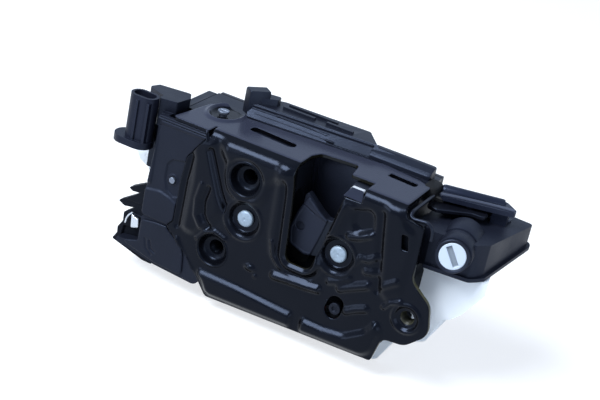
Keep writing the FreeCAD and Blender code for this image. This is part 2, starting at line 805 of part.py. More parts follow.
def roof_slope(shift):
    """Room in front of the roof's sloped front, moved back by a shift."""
    x, y = roof_slope_from
    y += shift
    high = roof_top + cut_over
    run = roof_slope_run * (high - roof_low) / (roof_top - roof_low)
    room = across([(y, roof_low), (y + run, high), (y - 30, high), (y - 30, roof_low)], x - 60, x + 140)
    room.rotate(V(x, y, 0), V(0, 0, 1), roof_slope_turn)
    return room


def housing_shell():
    low = prism(CASE, case_front, case_back)
    low = low.cut(prism(CASE, case_front - cut_over, case_back + cut_over, -case_wall))
    web = prism(CASE, web_front, web_back, -case_wall + 0.5)
    roof = slab(ROOF, top_level, roof_top).cut(roof_slope(0.0))
    hollow = slab(ROOF, top_level + case_wall, roof_top - case_wall, -case_wall)
    roof = roof.cut(hollow.cut(roof_slope(case_wall * 1.2)))
    body = low.fuse(web).fuse(roof)
    low = top_level - case_wall - cut_over
    high = top_level + case_wall + 0.5
    return body.cut(block(-16, 62, 36.5, case_back - 3.4, low, high))


def tub_wall():
    """Walls of the striker's hollow, with its floor."""
    room = mouth_hollow(case_front, web_front, mouth_wall)
    room = room.common(block(0, 80, case_front, web_front, -80, top_level))
    return room


ROOF_RIBS = [(-7, 10, 40, 41.6), (-6, 20, 44.5, 46.1), (16, 30, 40.6, 42.2)]
rib_height = 1.2

COVER_SCREWS = [(-40.5, -44.5), (-40.5, 6.5), (59.5, -55.0), (67.5, 5.5)]


def worm_post():
    """Bearing post at the free end of the motor's shaft."""
    x = wheel_centre[0] - worm_length / 2 - 4.6
    post = block(x, x + 2.6, web_back, wheel_mid + 3, worm_z - 3, worm_z + 3)
    return post.cut(Part.makeCylinder(motor_shaft + shaft_play, 6, V(x - 1, wheel_mid, worm_z), V(1, 0, 0)))


def motor_cradle():
    ribs = []
    floor = wheel_mid - motor_thick / 2
    for x in (motor_left + 3, motor_left + motor_length - 5):
        ribs.append(block(x, x + 2, web_back, floor, worm_z - 8, worm_z + 8))
    return ribs


def actuator_housing():
    body = housing_shell().fuse(tub_wall())
    for x, z in COVER_SCREWS:
        body = body.fuse(rod((x, z), boss_radius, web_back, case_back))
    body = body.fuse(worm_post())
    for rib in motor_cradle():
        body = body.fuse(rib)
    body = body.fuse(rod_z(flange_screw_at, 3.4, 4, top_level - 0.5))
    for x0, x1, y0, y1 in ROOF_RIBS:
        body = body.fuse(block(x0, x1, y0, y1, roof_top, roof_top + rib_height))
    body = body.cut(mouth_hollow(case_front - 1, mouth_depth))
    body = body.cut(rod(wheel_centre, axle_radius, web_front - cut_over, web_back + cut_over))
    points = [wheel_pin(a) for a in steps(-wheel_travel, wheel_travel, 6)]
    body = body.cut(channel(points, drive_pin_radius + 0.6, web_front - cut_over, web_back + cut_over))
    for x, z in COVER_SCREWS:
        body = body.cut(rod((x, z), screw_core, case_back - 9, case_back + 1))
    body = body.cut(rod_z(flange_screw_at, screw_core, 3, flange_top))
    body = body.cut(block(*plug_way))
    return body


plug_way = (case_left - 1, case_left + case_wall + 1, 30.0, 40.0, -6.0, 6.0)


def cover_seal():
    """Rubber ring between the housing's rear edge and the rear cover."""
    inset = (case_wall - seal_width) / 2
    ring = prism(CASE, case_back, cover_back - cover_wall, -inset)
    return ring.cut(prism(CASE, case_back - 1, cover_back, -inset - seal_width))


def side_floor(y, shift=0.0):
    """Level of the side box's foot, which rises towards the rear."""
    return side_bottom + shift + max(0.0, y - side_level_to) * side_rise


def over_floor(shift, top):
    """All the room above the side box's foot, moved up by a shift."""
    rear = side_back + 10
    points = [(-20, side_floor(0, shift)), (side_level_to, side_floor(0, shift)),
              (rear, side_floor(rear, shift)), (rear, top), (-20, top)]
    return across(points, case_right - 8, 140)


def cover_body(inset):
    """Closed body of the rear cover, moved inward by an inset on every side."""
    body = prism(COVER, cover_front + inset, cover_back - inset, -inset)
    body = body.cut(over_floor(-gap - inset, 40))
    right = cover_right + 20
    taper = [(cover_right - inset, cover_front), (right, cover_front), (right, cover_back),
             (cover_right - cover_taper - inset, cover_back)]
    return body.cut(slab(taper, -90, 40))


def rear_cover():
    shell = cover_body(0.0).cut(cover_body(cover_wall))
    shell = shell.cut(prism(CASE, 0, cover_back - cover_wall, gap))
    shell = shell.fuse(prism(CASE, cover_back - cover_wall, cover_back, -gap))
    for x, z in COVER_SCREWS:
        shell = shell.cut(rod((x, z), screw_core + 0.3, cover_back - 5, cover_back + 1))
    shell = shell.cut(connector_block_outer(gap))
    shell = shell.cut(block_top(gap))
    return max(one(shell).Solids, key=lambda s: s.Volume)


def cover_screws():
    screws = []
    for x, z in COVER_SCREWS:
        head = rod((x, z), screw_head, cover_back, cover_back + screw_head_height)
        head = head.cut(hexagon((x, z), 1.6, cover_back + 0.8, cover_back + 4))
        screws.append(head.fuse(rod((x, z), screw_core, case_back - 8, cover_back)))
    return Part.makeCompound(screws)


def hexagon(centre, radius, y0, y1):
    return prism([polar(centre, radius, 60 * i) for i in range(6)], y0, y1)


def flange_screw():
    head = rod_z(flange_screw_at, screw_head - 0.4, flange_top, flange_top + 1.4)
    x, y = flange_screw_at
    socket = block(x - 1.8, x + 1.8, y - 0.45, y + 0.45, flange_top + 0.6, flange_top + 3.6)
    return head.fuse(rod_z(flange_screw_at, screw_core, 5, flange_top)).cut(socket)


def plate_screw():
    """Screw in the plate's slot, into the frame."""
    head = rod(lever_screw_at, 2.9, frame_front - 1.5, frame_front)
    head = head.cut(hexagon(lever_screw_at, 1.4, 0, frame_front - 0.7))
    return head.fuse(rod(lever_screw_at, screw_core, frame_front, frame_back - 3))


# Left side: plastic panel, guard and connector

def left_panel():
    """Front panel beside the plate, with its side wall."""
    outline = [(panel_left + 2.6, 12), (-22.6, 12), (-22.6, panel_bottom, 2), (panel_left, panel_bottom, 2),
               (panel_left, -24, 3)]
    panel = prism(outline, panel_front, panel_front + panel_thick)
    panel = panel.fuse(block(panel_left, panel_left + 2, panel_front, connector_front, -36, 8))
    panel = panel.cut(prism(PLATE, -1, 6, gap))
    pad = rod(panel_pin_at, 4.6, 0.2, 1.5)
    pad = pad.cut(prism(PLATE, -1, 6, gap))
    panel = panel.fuse(pad)
    panel = panel.cut(rod(panel_pin_at, panel_pin_radius, -2, 8))
    return max(one(panel).Solids, key=lambda s: s.Volume)


def panel_pin():
    return rod(panel_pin_at, panel_pin_radius, 0, connector_front + 3)


def lower_guard():
    """Curved guard below the panel, that covers the levers' ends."""
    top = panel_bottom - gap
    outline = [(panel_left, top, 2), (-22.6, top), (-12, -57, 2), (-17, -63.0, 4), (-40, -61.6, 4),
               (-62.6, -57.4, 0.5), (-63, -55.6, 0.5), (panel_left, -53.6, 1)]
    guard = prism(outline, panel_front, panel_front + 2)
    rim = prism(outline, panel_front + 1, 15.0).cut(prism(outline, panel_front, 15.1, -1.8))
    guard = guard.fuse(rim).cut(prism(PLATE, -1, 16, gap))
    guard = guard.cut(prism(CLIP, clip_front - gap, clip_back + gap, gap)).cut(spring_clip_room(gap))
    return max(one(guard).Solids, key=lambda s: s.Volume)


def connector_block_outer(grow):
    x0 = panel_left + 0.2
    body = block(x0 - grow, case_left - gap + grow, connector_front, connector_back + grow,
                 -36 - grow, top_level + grow)
    return body


def block_top(grow):
    outline = [(-65, 13.5, 2), (-63, 19.5, 1), (-47, 22.5, 2), (-44, 17, 1), (-45.2, 7.4, 1), (-54.5, 5.2),
               (-54.5, 9.4)]
    return slab(outline, top_level - 8 - grow, 20, grow)


def side_block():
    """Connector body at the left: a box that joins the socket to the housing."""
    body = connector_block_outer(0)
    inner = block(panel_left + 2, case_left - 2, connector_front + 2, connector_back - 2, -34, top_level - 2)
    body = body.cut(inner)
    body = body.fuse(block_top(0))
    body = body.cut(block(case_left - gap, 0, case_front - gap, 60, -80, top_level + gap))
    body = body.fuse(block(-58, -49, 10.1, 12.8, -18, top_level))
    body = body.cut(slab(socket_outline(gap), -30, 30))
    body = body.cut(block(case_left - 3, case_left + 1, 31.0, 39.0, -5.0, 5.0))
    return body


def oval(centre, half_length, half_width):
    x, y = centre
    r = half_width - 0.2
    return [(x - half_length, y - half_width, r), (x + half_length, y - half_width, r),
            (x + half_length, y + half_width, r), (x - half_length, y + half_width, r)]


def socket_outline(grow):
    return oval(socket_centre, socket_half_length + grow, socket_half_width + grow)


def connector_socket():
    """Oval socket that stands upright, with a flared foot and ribs."""
    x, y = socket_centre
    outer = slab(socket_outline(0), socket_base, socket_top)
    foot = slab(oval((x - 2.5, y), socket_half_length + 3, socket_half_width + 2),
                socket_base - foot_height, socket_base)
    ribs = [block(x + d, x + d + 1.4, y - socket_half_width - 0.8, y, socket_base, socket_top - 2)
            for d in (-1.5, 4.5)]
    body = outer.fuse(foot)
    for rib in ribs:
        body = body.fuse(rib)
    hollow = slab(oval(socket_centre, socket_half_length - socket_wall, socket_half_width - socket_wall),
                  socket_base + socket_floor, socket_top + cut_over)
    body = body.cut(hollow)
    for spot in pin_spots():
        body = body.cut(pin_bar(spot, socket_base - 8, socket_base + 4))
    return body.cut(connector_block_outer(gap))


def pin_spots():
    x, y = socket_centre
    start = x - pin_pitch * (pin_count / 2 - 1) / 2
    return [(start + pin_pitch * (i // 2), y + (0.9 if i % 2 else -0.9)) for i in range(pin_count)]


def pin_bar(spot, z0, z1):
    h = pin_size / 2
    return block(spot[0] - h, spot[0] + h, spot[1] - h, spot[1] + h, z0, z1)


def connector_pins():
    return Part.makeCompound([pin_bar(s, socket_base - foot_height, socket_base + 9) for s in pin_spots()])


CLIP = [(-60.4, -29), (-56, -31), (-53, -34), (-52.4, -47.6), (-61, -49.6), (-64, -56.4), (-68, -60),
        (-66.6, -55), (-64.6, -50), (-63.4, -45.4), (-60.6, -42), (-67, -39.6), (-61.6, -36.4), (-58.4, -33)]


def cable_clip():
    """Toothed cable guard at the lower left."""
    return prism(CLIP, clip_front, clip_back).cut(spring_clip_room(gap))


def spring_clip_room(grow):
    return block(-62.5 - grow, -56.8 + grow, clip_front - 2, 12, -53 - grow, -46.6 + grow)


def spring_clip():
    """Bright steel clip that holds the cable's end."""
    clip = block(-62.5, -56.8, clip_front, clip_back, -53, -46.6)
    return clip.cut(block(-61.5, -56, clip_front + 1, clip_back - 1, -54, -46))


# Right side box

def rotor_place(shape):
    """Moves a shape drawn along +Z onto the slotted rotor's axis, pointing inward."""
    inward = rotor_axis * -1
    placed = shape.copy()
    turn_to = FreeCAD.Rotation(V(0, 0, 1), inward)
    placed.Placement = FreeCAD.Placement(rotor_face, turn_to).multiply(placed.Placement)
    return placed


def rotor_cylinder(radius, z0, z1):
    return rotor_place(Part.makeCylinder(radius, z1 - z0, V(0, 0, z0)))


def slotted_rotor():
    """Slotted key rotor of the mechanical lock, turned with a key or a screwdriver."""
    body = rotor_cylinder(rotor_radius, 0, 2.4)
    body = body.fuse(rotor_cylinder(rotor_radius - 1.6, 2.4, rotor_length))
    slot = Part.makeBox(10, 2.4, 1.8, V(-5, -1.2, -0.6))
    slot.rotate(V(0, 0, 0), V(0, 0, 1), 62)
    return body.cut(rotor_place(slot))


SIDE = [(side_left, 14.5, 2), (88, side_front - 1.6, 1), (108.5, side_front + 1.0, 2),
        (113.2, side_front + 6.6, 2),
        (120.5, side_back - 2, 2), (side_left, side_back, 2)]


def barrel():
    outer = rotor_cylinder(rotor_radius + 0.5, 2.4 + gap, 9.6)
    outer = outer.fuse(rotor_cylinder(rotor_radius - 1.6 + shaft_play + barrel_wall, 9.0, rotor_length + 2))
    hump = Part.makeCylinder(barrel_radius, barrel_length, barrel_front, barrel_run)
    return outer.fuse(hump)


def side_housing():
    """Box right of the latch plate, with a lip round its foot and the rotor's barrel."""
    shell = slab(SIDE, side_bottom, side_top)
    lip = slab(SIDE, side_bottom, side_top, lip_reach).cut(over_floor(lip_height, 40))
    body = shell.fuse(lip).common(over_floor(0.0, 40)).fuse(barrel())
    body = body.cut(slab(SIDE, side_bottom - 1, side_top - side_wall, -side_wall))
    hump_room = Part.makeCylinder(barrel_radius - barrel_wall, barrel_length - barrel_wall,
                                  barrel_front, barrel_run)
    body = body.cut(hump_room.common(block(0, 200, rotor_face.y + 7, 100, -50, 50)))
    inner_barrel = rotor_cylinder(rotor_radius - 1.6 + shaft_play + barrel_wall, 9.0, rotor_length + 2)
    body = body.fuse(inner_barrel)
    body = body.cut(rotor_cylinder(rotor_radius - 1.6 + shaft_play, 0, rotor_length + 0.3))
    body = body.cut(rotor_cylinder(rotor_radius + shaft_play + 0.1, -3, 2.4 + gap))
    body = body.cut(prism(PLATE, 0, 12, gap))
    return max(one(body).Solids, key=lambda s: s.Volume)


HOOD = [(80.6, 29.6, 2), (108, 38.4, 3), (114.8, 41.0, 2), (113.6, 44.2, 2), (107.5, 49.4, 2), (81, 40.6, 3)]


def cable_bracket():
    """Hood over the inner lever that holds the end of the release cable."""
    plate = slab(HOOD, hood_low, hood_low + hood_sheet)
    bar = Part.makeCylinder(hood_bar_radius, hood_bar_length, hood_bar_from, hood_bar_run)
    bar = bar.fuse(Part.makeSphere(hood_bar_radius, hood_bar_from))
    wall = slab([(81.4, 38.4), (108, 46.8), (108, 48.8), (81.4, 40.4)], side_top, hood_low + cut_over)
    foot = slab([(104, 41), (111, 42.6), (111, 45.6), (106, 48.4), (104, 47)], side_top, hood_low + cut_over)
    return plate.fuse(bar).fuse(wall).fuse(foot)


def inner_lever():
    """Lever that the inner door handle pulls by its cable."""
    x, y = hand_pivot
    arm = [(x - 4, y + 4.2, 4), (x - 15, y - 5.4, 2), (x - 15.6, y - 13.4, 2), (x - 10, y - 14.4, 2),
           (x + 3, y - 5, 3), (x + 9, y - 4.4, 2), (x + 9.6, y + 1.2, 2), (x + 4, y + 2.6, 3)]
    top = hand_front + hand_sheet
    lever = slab(arm, hand_front, top)
    return lever.cut(rod_z(hand_pivot, hand_pin_radius + shaft_play, hand_front - cut_over, top + cut_over))


def inner_lever_pin():
    """Pivot of the inner lever, between the side box and the hood."""
    pin = rod_z(hand_pivot, hand_pin_radius, side_top, hood_low)
    return pin.fuse(rod_z(hand_pivot, hand_pin_radius + 1.4, side_top, hand_front - 0.1))


def top_clip():
    """Small two-step clip block that stands on the housing's roof."""
    low = slab([(-21, 36), (-12, 38.5), (-9, 43), (-19.5, 43.6)], roof_top, 25.4)
    high = slab([(-20.5, 37.4), (-14, 39.2), (-13, 43), (-19.4, 43.2)], 25.4, 28.6)
    return low.fuse(high)


# Switches and leads

def claw_switch():
    w, d, h = switch_size
    x, z = switch_at
    y0 = core_front - 1.6
    body = block(x - w / 2, x + w / 2, y0, y0 + d, z - h / 2, z + h / 2)
    return body.cut(claw_plunger_rod(plunger_radius + shaft_play, -3.6))


def claw_plunger_rod(radius, low):
    x, z = switch_at
    h = switch_size[2]
    return Part.makeCylinder(radius, plunger_reach - low, V(x, core_front + 1.2, z + h / 2 + low), V(0, 0, 1))


def claw_plunger():
    return claw_plunger_rod(plunger_radius, -2.2)


def lock_switch():
    x, y, z = lock_switch_at
    w, d, h = switch_size
    body = block(x, x + w - 2, web_back, y + d, z, z + h)
    return body.cut(lock_plunger_rod(plunger_radius + shaft_play, -3.6))


def lock_plunger_rod(radius, low):
    x, y, z = lock_switch_at
    w, d, h = switch_size
    start = V(x + w - 2 + low, y + d / 2, z + h / 2)
    return Part.makeCylinder(radius, plunger_reach - low, start, V(1, 0, 0))


def lock_plunger():
    return lock_plunger_rod(plunger_radius, -2.2)


def contact_carrier():
    """Plastic board behind the gears that holds the contact strips."""
    low = case_bottom + 6
    left = case_left + 4
    outline = [(left, low + 16, 2), (left + 20, low + 1, 3), (56, low, 3), (62, low + 10, 3), (62, 1, 2),
               (left + 6, 1, 2), (left, -4, 2)]
    board = prism(outline, 44.6, 46.2)
    for x, z in COVER_SCREWS:
        board = board.cut(rod((x, z), boss_radius + 0.4, 40, 50))
    board = board.fuse(rod(wheel_centre, 4.0, wheel_mid + 4, 44.6))
    board = board.cut(rod(wheel_centre, axle_radius + shaft_play, wheel_mid + 3, wheel_mid + 5))
    for x, z in ((24, -6), (-39, -11), (56, -20)):
        board = board.fuse(rod((x, z), 2.4, web_back, 44.6))
    return board


def contact_strips():
    strips = []
    for i in range(3):
        x = -34 + 3.4 * i
        strips.append(block(x, x + 1.6, 44.2, 44.6, -34 + 3 * i, 0).fuse(
            block(x, 40, 44.2, 44.6, -35.6 + 3 * i, -34 + 3 * i)))
    return Part.makeCompound(strips)


NODES = {
    "latch_plate": latch_plate, "latch_frame": latch_frame, "back_plate": back_plate,
    "claw_core": claw_core, "claw_jacket": claw_jacket, "pawl_core": pawl_core, "pawl_jacket": pawl_jacket,
    "claw_rivet": lambda: pivot_rivet(claw_pivot), "pawl_rivet": lambda: pivot_rivet(pawl_pivot),
    "claw_spring": lambda: torsion_spring(claw_pivot, (2.4, 0.3, -1.0), (2.4, -0.3, 1.0)),
    "pawl_spring": lambda: torsion_spring(pawl_pivot, (2.4, 0.3, -1.0), (2.4, -0.3, 1.0)),
    "striker_buffer": striker_buffer, "release_lever": release_lever, "release_pin": release_pin,
    "lock_lever": lock_lever, "lock_pin": lock_pin, "worm_wheel": worm_wheel, "wheel_axle": wheel_axle,
    "worm": worm, "drive_shaft": drive_shaft, "motor_can": motor_can, "motor_cap": motor_cap,
    "actuator_housing": actuator_housing, "cover_seal": cover_seal, "rear_cover": rear_cover,
    "cover_screws": cover_screws, "flange_screw": flange_screw, "plate_screw": plate_screw,
    "left_panel": left_panel, "panel_pin": panel_pin, "lower_guard": lower_guard, "side_block": side_block,
    "connector_socket": connector_socket, "connector_pins": connector_pins, "cable_clip": cable_clip,
    "spring_clip": spring_clip, "side_housing": side_housing, "slotted_rotor": slotted_rotor,
    "cable_bracket": cable_bracket, "inner_lever": inner_lever, "inner_lever_pin": inner_lever_pin,
    "top_clip": top_clip, "claw_switch": claw_switch, "claw_plunger": claw_plunger,
    "lock_switch": lock_switch, "lock_plunger": lock_plunger, "contact_carrier": contact_carrier,
    "contact_strips": contact_strips,
}

os.makedirs("parts", exist_ok=True)
for node, make in NODES.items():
    save(node, make())
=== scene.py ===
import json
import math

import bpy
import numpy as np
from mathutils import Matrix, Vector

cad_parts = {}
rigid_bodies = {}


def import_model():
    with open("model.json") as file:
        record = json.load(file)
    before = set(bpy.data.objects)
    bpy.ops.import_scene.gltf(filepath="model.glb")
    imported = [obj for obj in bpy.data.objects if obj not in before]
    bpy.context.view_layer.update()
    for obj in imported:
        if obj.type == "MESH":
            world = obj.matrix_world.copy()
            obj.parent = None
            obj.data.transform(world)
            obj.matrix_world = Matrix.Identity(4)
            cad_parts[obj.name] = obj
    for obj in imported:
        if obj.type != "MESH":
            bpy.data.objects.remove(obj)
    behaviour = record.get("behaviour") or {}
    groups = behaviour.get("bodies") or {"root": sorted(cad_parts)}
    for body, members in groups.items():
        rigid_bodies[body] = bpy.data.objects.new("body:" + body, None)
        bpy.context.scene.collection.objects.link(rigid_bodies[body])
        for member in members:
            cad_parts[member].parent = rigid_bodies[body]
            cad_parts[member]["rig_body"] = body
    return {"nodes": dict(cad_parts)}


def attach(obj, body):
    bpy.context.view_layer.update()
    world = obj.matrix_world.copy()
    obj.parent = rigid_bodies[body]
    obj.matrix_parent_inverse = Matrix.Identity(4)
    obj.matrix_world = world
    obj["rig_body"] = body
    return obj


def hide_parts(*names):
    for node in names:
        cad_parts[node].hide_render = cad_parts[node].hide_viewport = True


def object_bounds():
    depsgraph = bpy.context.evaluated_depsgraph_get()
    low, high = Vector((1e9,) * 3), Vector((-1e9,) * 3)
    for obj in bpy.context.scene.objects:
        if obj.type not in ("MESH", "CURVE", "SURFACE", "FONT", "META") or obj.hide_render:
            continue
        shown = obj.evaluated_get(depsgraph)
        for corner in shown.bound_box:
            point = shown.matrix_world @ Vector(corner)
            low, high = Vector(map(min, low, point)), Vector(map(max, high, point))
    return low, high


# Car door lock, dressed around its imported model. Shapes are worked out in millimetres.

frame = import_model()
nodes = frame["nodes"]
cad_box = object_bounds()
MM = 0.001


# Colours and finishes

def shade(red, green, blue):
    """Linear colour from screen values of 0 to 255."""
    part = [c / 255 for c in (red, green, blue)]
    return tuple(c / 12.92 if c < 0.04 else ((c + 0.055) / 1.055) ** 2.4 for c in part) + (1.0,)


NOISE_LOW, NOISE_HIGH = 0.3, 0.7
BUMP_DEPTH = 0.4 * MM


def finish(name, colour, rough, metal=0.0, grain=900.0, relief=0.05, mottle=0.12, patch=60.0,
           specular=0.5, edge=None, rough_spread=0.08, tint=(1, 1, 1), above=None):
    """Moulded or coated surface. A wide noise in Object coordinates varies its colour by mottle and its
    roughness by rough_spread, and a fine noise gives its relief. edge is a second colour, mixed in by the
    piece's cut attribute: bare steel on the plate's rim, painted shade on the roof's foot and in the rotor's
    slot, a painted highlight on the hook tab's top and a darker field on the claw. above is a height in
    millimetres and a colour painted on all that lies higher: painted light on the plate's flange and painted
    shade on the cover's top."""
    mat = bpy.data.materials.new(name)
    mat.use_nodes = True
    tree = mat.node_tree
    skin = tree.nodes["Principled BSDF"]
    skin.inputs["Metallic"].default_value = metal
    skin.inputs["Specular IOR Level"].default_value = specular
    skin.inputs["Specular Tint"].default_value = tuple(tint) + (1.0,)

    def add(kind, **values):
        node = tree.nodes.new(kind)
        for key, value in values.items():
            setattr(node, key, value)
        return node

    place = add("ShaderNodeTexCoord")
    fine = add("ShaderNodeTexNoise")
    fine.inputs["Scale"].default_value = grain
    fine.inputs["Detail"].default_value = 3.0
    wide = add("ShaderNodeTexNoise")
    wide.inputs["Scale"].default_value = patch
    wide.inputs["Detail"].default_value = 5.0
    for node in (fine, wide):
        tree.links.new(place.outputs["Object"], node.inputs["Vector"])
    tone = add("ShaderNodeValToRGB")
    base = shade(*colour)
    tone.color_ramp.elements[0].position = NOISE_LOW
    tone.color_ramp.elements[0].color = tuple(c * (1 - mottle) for c in base[:3]) + (1.0,)
    tone.color_ramp.elements[1].position = NOISE_HIGH
    tone.color_ramp.elements[1].color = tuple(min(1.0, c * (1 + mottle)) for c in base[:3]) + (1.0,)
    tree.links.new(wide.outputs["Fac"], tone.inputs["Fac"])
    colour_out = tone.outputs["Color"]
    if edge:
        cut = add("ShaderNodeAttribute", attribute_name="cut")
        mix = add("ShaderNodeMix", data_type="RGBA")
        tree.links.new(cut.outputs["Fac"], mix.inputs["Factor"])
        tree.links.new(colour_out, mix.inputs["A"])
        mix.inputs["B"].default_value = shade(*edge)
        colour_out = mix.outputs["Result"]
    # Colour painted on all that lies above a height: painted light on the plate's flange, painted shade on
    # the cover's top
    if above:
        split = add("ShaderNodeSeparateXYZ")
        tree.links.new(place.outputs["Object"], split.inputs["Vector"])
        high = add("ShaderNodeMath", operation="GREATER_THAN")
        high.inputs[1].default_value = above[0] * MM
        tree.links.new(split.outputs["Z"], high.inputs[0])
        mix = add("ShaderNodeMix", data_type="RGBA")
        tree.links.new(high.outputs["Value"], mix.inputs["Factor"])
        tree.links.new(colour_out, mix.inputs["A"])
        mix.inputs["B"].default_value = shade(*above[1])
        colour_out = mix.outputs["Result"]
    tree.links.new(colour_out, skin.inputs["Base Color"])
    gloss = add("ShaderNodeMapRange")
    gloss.inputs["From Min"].default_value = NOISE_LOW
    gloss.inputs["From Max"].default_value = NOISE_HIGH
    gloss.inputs["To Min"].default_value = rough - rough_spread
    gloss.inputs["To Max"].default_value = rough + rough_spread
    tree.links.new(wide.outputs["Fac"], gloss.inputs["Value"])
    tree.links.new(gloss.outputs["Result"], skin.inputs["Roughness"])
    bump = add("ShaderNodeBump")
    bump.inputs["Strength"].default_value = relief
    bump.inputs["Distance"].default_value = BUMP_DEPTH
    tree.links.new(fine.outputs["Fac"], bump.inputs["Height"])
    tree.links.new(bump.outputs["Normal"], skin.inputs["Normal"])
    return mat


COOL = (0.55, 0.68, 1.0)
FINISH = {
    # The plate's flange, above 16.25 mm, is painted lighter, as painted light on the top that faces the
    # lamps; its edge colour is bare steel
    "black_coated_steel": finish("black_coated_steel", (4, 4, 6), 0.22, grain=1100, relief=0.10, mottle=0.25,
                                 specular=0.16, edge=(84, 82, 62), tint=COOL, rough_spread=0.05,
                                 above=(16.25, (40, 43, 56))),
    # The funnels take a copy of the coat that reflects less, as painted shade inside their holes
    "funnel_coat": finish("funnel_coat", (5, 6, 10), 0.26, grain=1100, relief=0.1, specular=0.12, tint=COOL),
    # The roof's sloped front has a near-black second colour, painted shade along its foot
    "roof_front": finish("roof_front", (12, 13, 20), 0.42, grain=1300, relief=0.14, specular=0.2,
                         edge=(3, 3, 5), tint=COOL),
    "frame_black": finish("frame_black", (7, 8, 12), 0.55, grain=1300, relief=0.14, specular=0.12, tint=COOL),
    "ear_coat": finish("ear_coat", (52, 52, 42), 0.4, grain=900, relief=0.2, mottle=0.3, specular=0.3),
    # The hook tab's second colour is light grey, a painted highlight on the top of its rim
    "tab_steel": finish("tab_steel", (26, 29, 42), 0.35, grain=900, relief=0.15, mottle=0.2, specular=0.3,
                        edge=(176, 180, 186), tint=COOL),
    "zinc_steel": finish("zinc_steel", (134, 150, 166), 0.5, metal=0.4, grain=900, relief=0.35, mottle=0.16,
                         patch=400),
    "claw_steel": finish("claw_steel", (16, 18, 26), 0.4, grain=700, relief=0.1, specular=0.2, tint=COOL),
    "claw_skin": finish("claw_skin", (17, 19, 28), 0.5, grain=1200, relief=0.1, specular=0.3, edge=(6, 7, 10),
                        tint=COOL),
    "dark_overmould": finish("dark_overmould", (14, 16, 24), 0.55, grain=1500, relief=0.1, specular=0.15,
                             tint=COOL),
    "spring_steel": finish("spring_steel", (130, 130, 136), 0.35, metal=0.9, grain=800, relief=0.1),
    "soft_rubber": finish("soft_rubber", (8, 9, 12), 0.7, grain=700, relief=0.2, specular=0.2),
    "white_gear_plastic": finish("white_gear_plastic", (226, 228, 226), 0.45, mottle=0.03),
    "worm_brass": finish("worm_brass", (190, 160, 90), 0.35, metal=0.9),
    "motor_steel": finish("motor_steel", (150, 154, 160), 0.4, metal=0.85, mottle=0.05),
    "black_plastic": finish("black_plastic", (15, 17, 25), 0.40, grain=1300, relief=0.14, mottle=0.15,
                            specular=0.26, tint=COOL),
    # Above 5.7 mm the pale cover is painted near black, as painted shade where its top lies in shadow behind
    # dark parts
    "white_cover_plastic": finish("white_cover_plastic", (240, 246, 253), 0.5, grain=1200, relief=0.06,
                                  mottle=0.015, patch=25, above=(5.7, (20, 22, 33))),
    "bright_screw": finish("bright_screw", (110, 118, 132), 0.4, metal=0.8, grain=1200, relief=0.2),
    "dark_screw": finish("dark_screw", (13, 14, 20), 0.4, grain=1200, relief=0.2, specular=0.2, tint=COOL),
    "panel_plastic": finish("panel_plastic", (15, 17, 25), 0.45, grain=1300, relief=0.2, mottle=0.15,
                            specular=0.2, tint=COOL),
    "block_plastic": finish("block_plastic", (14, 16, 24), 0.40, grain=1300, relief=0.14, specular=0.24,
                            tint=COOL),
    "socket_plastic": finish("socket_plastic", (17, 19, 29), 0.42, grain=1300, relief=0.14, specular=0.2,
                             tint=COOL),
    "tinned_brass": finish("tinned_brass", (190, 188, 176), 0.3, metal=0.9),
    "bright_steel_clip": finish("bright_steel_clip", (186, 192, 200), 0.3, metal=0.9, grain=600, relief=0.1),
    "side_box_plastic": finish("side_box_plastic", (17, 19, 28), 0.48, grain=1300, relief=0.14, mottle=0.12,
                               specular=0.26, tint=COOL),
    "white_rotor_plastic": finish("white_rotor_plastic", (204, 216, 228), 0.5, grain=900, relief=0.05,
                                  mottle=0.02),
    # The rotor's second colour is a darker grey, painted shade on the floor of its slot
    "rotor_white": finish("rotor_white", (178, 190, 206), 0.5, grain=900, relief=0.05, mottle=0.02,
                          edge=(112, 122, 134)),
    "hood_plastic": finish("hood_plastic", (20, 23, 35), 0.34, grain=1300, relief=0.12, specular=0.3,
                           tint=COOL),
    # A lighter copy of the hood's plastic for its ridge, as a painted highlight along it
    "hood_painted_highlight": finish("hood_painted_highlight", (58, 62, 74), 0.34, grain=1300, relief=0.12, specular=0.3, tint=COOL),
    "lever_plastic": finish("lever_plastic", (11, 12, 18), 0.35, grain=1300, relief=0.1, specular=0.3,
                            tint=COOL),
    "switch_plastic": finish("switch_plastic", (20, 22, 28), 0.5),
    "switch_button": finish("switch_button", (200, 60, 50), 0.5),
    "carrier_plastic": finish("carrier_plastic", (200, 206, 206), 0.5, mottle=0.03),
}

# The finish of each CAD node: its slot's own, but for three nodes
finish_of = {name: node.material_slots[0].material.name.split(".")[0] for name, node in nodes.items()}
finish_of.update(plate_screw="dark_screw", latch_frame="frame_black", inner_lever_pin="black_coated_steel")
for name, node in nodes.items():
    for place in node.material_slots:
        place.material = FINISH.get(finish_of[name], FINISH["black_plastic"])


# Making pieces

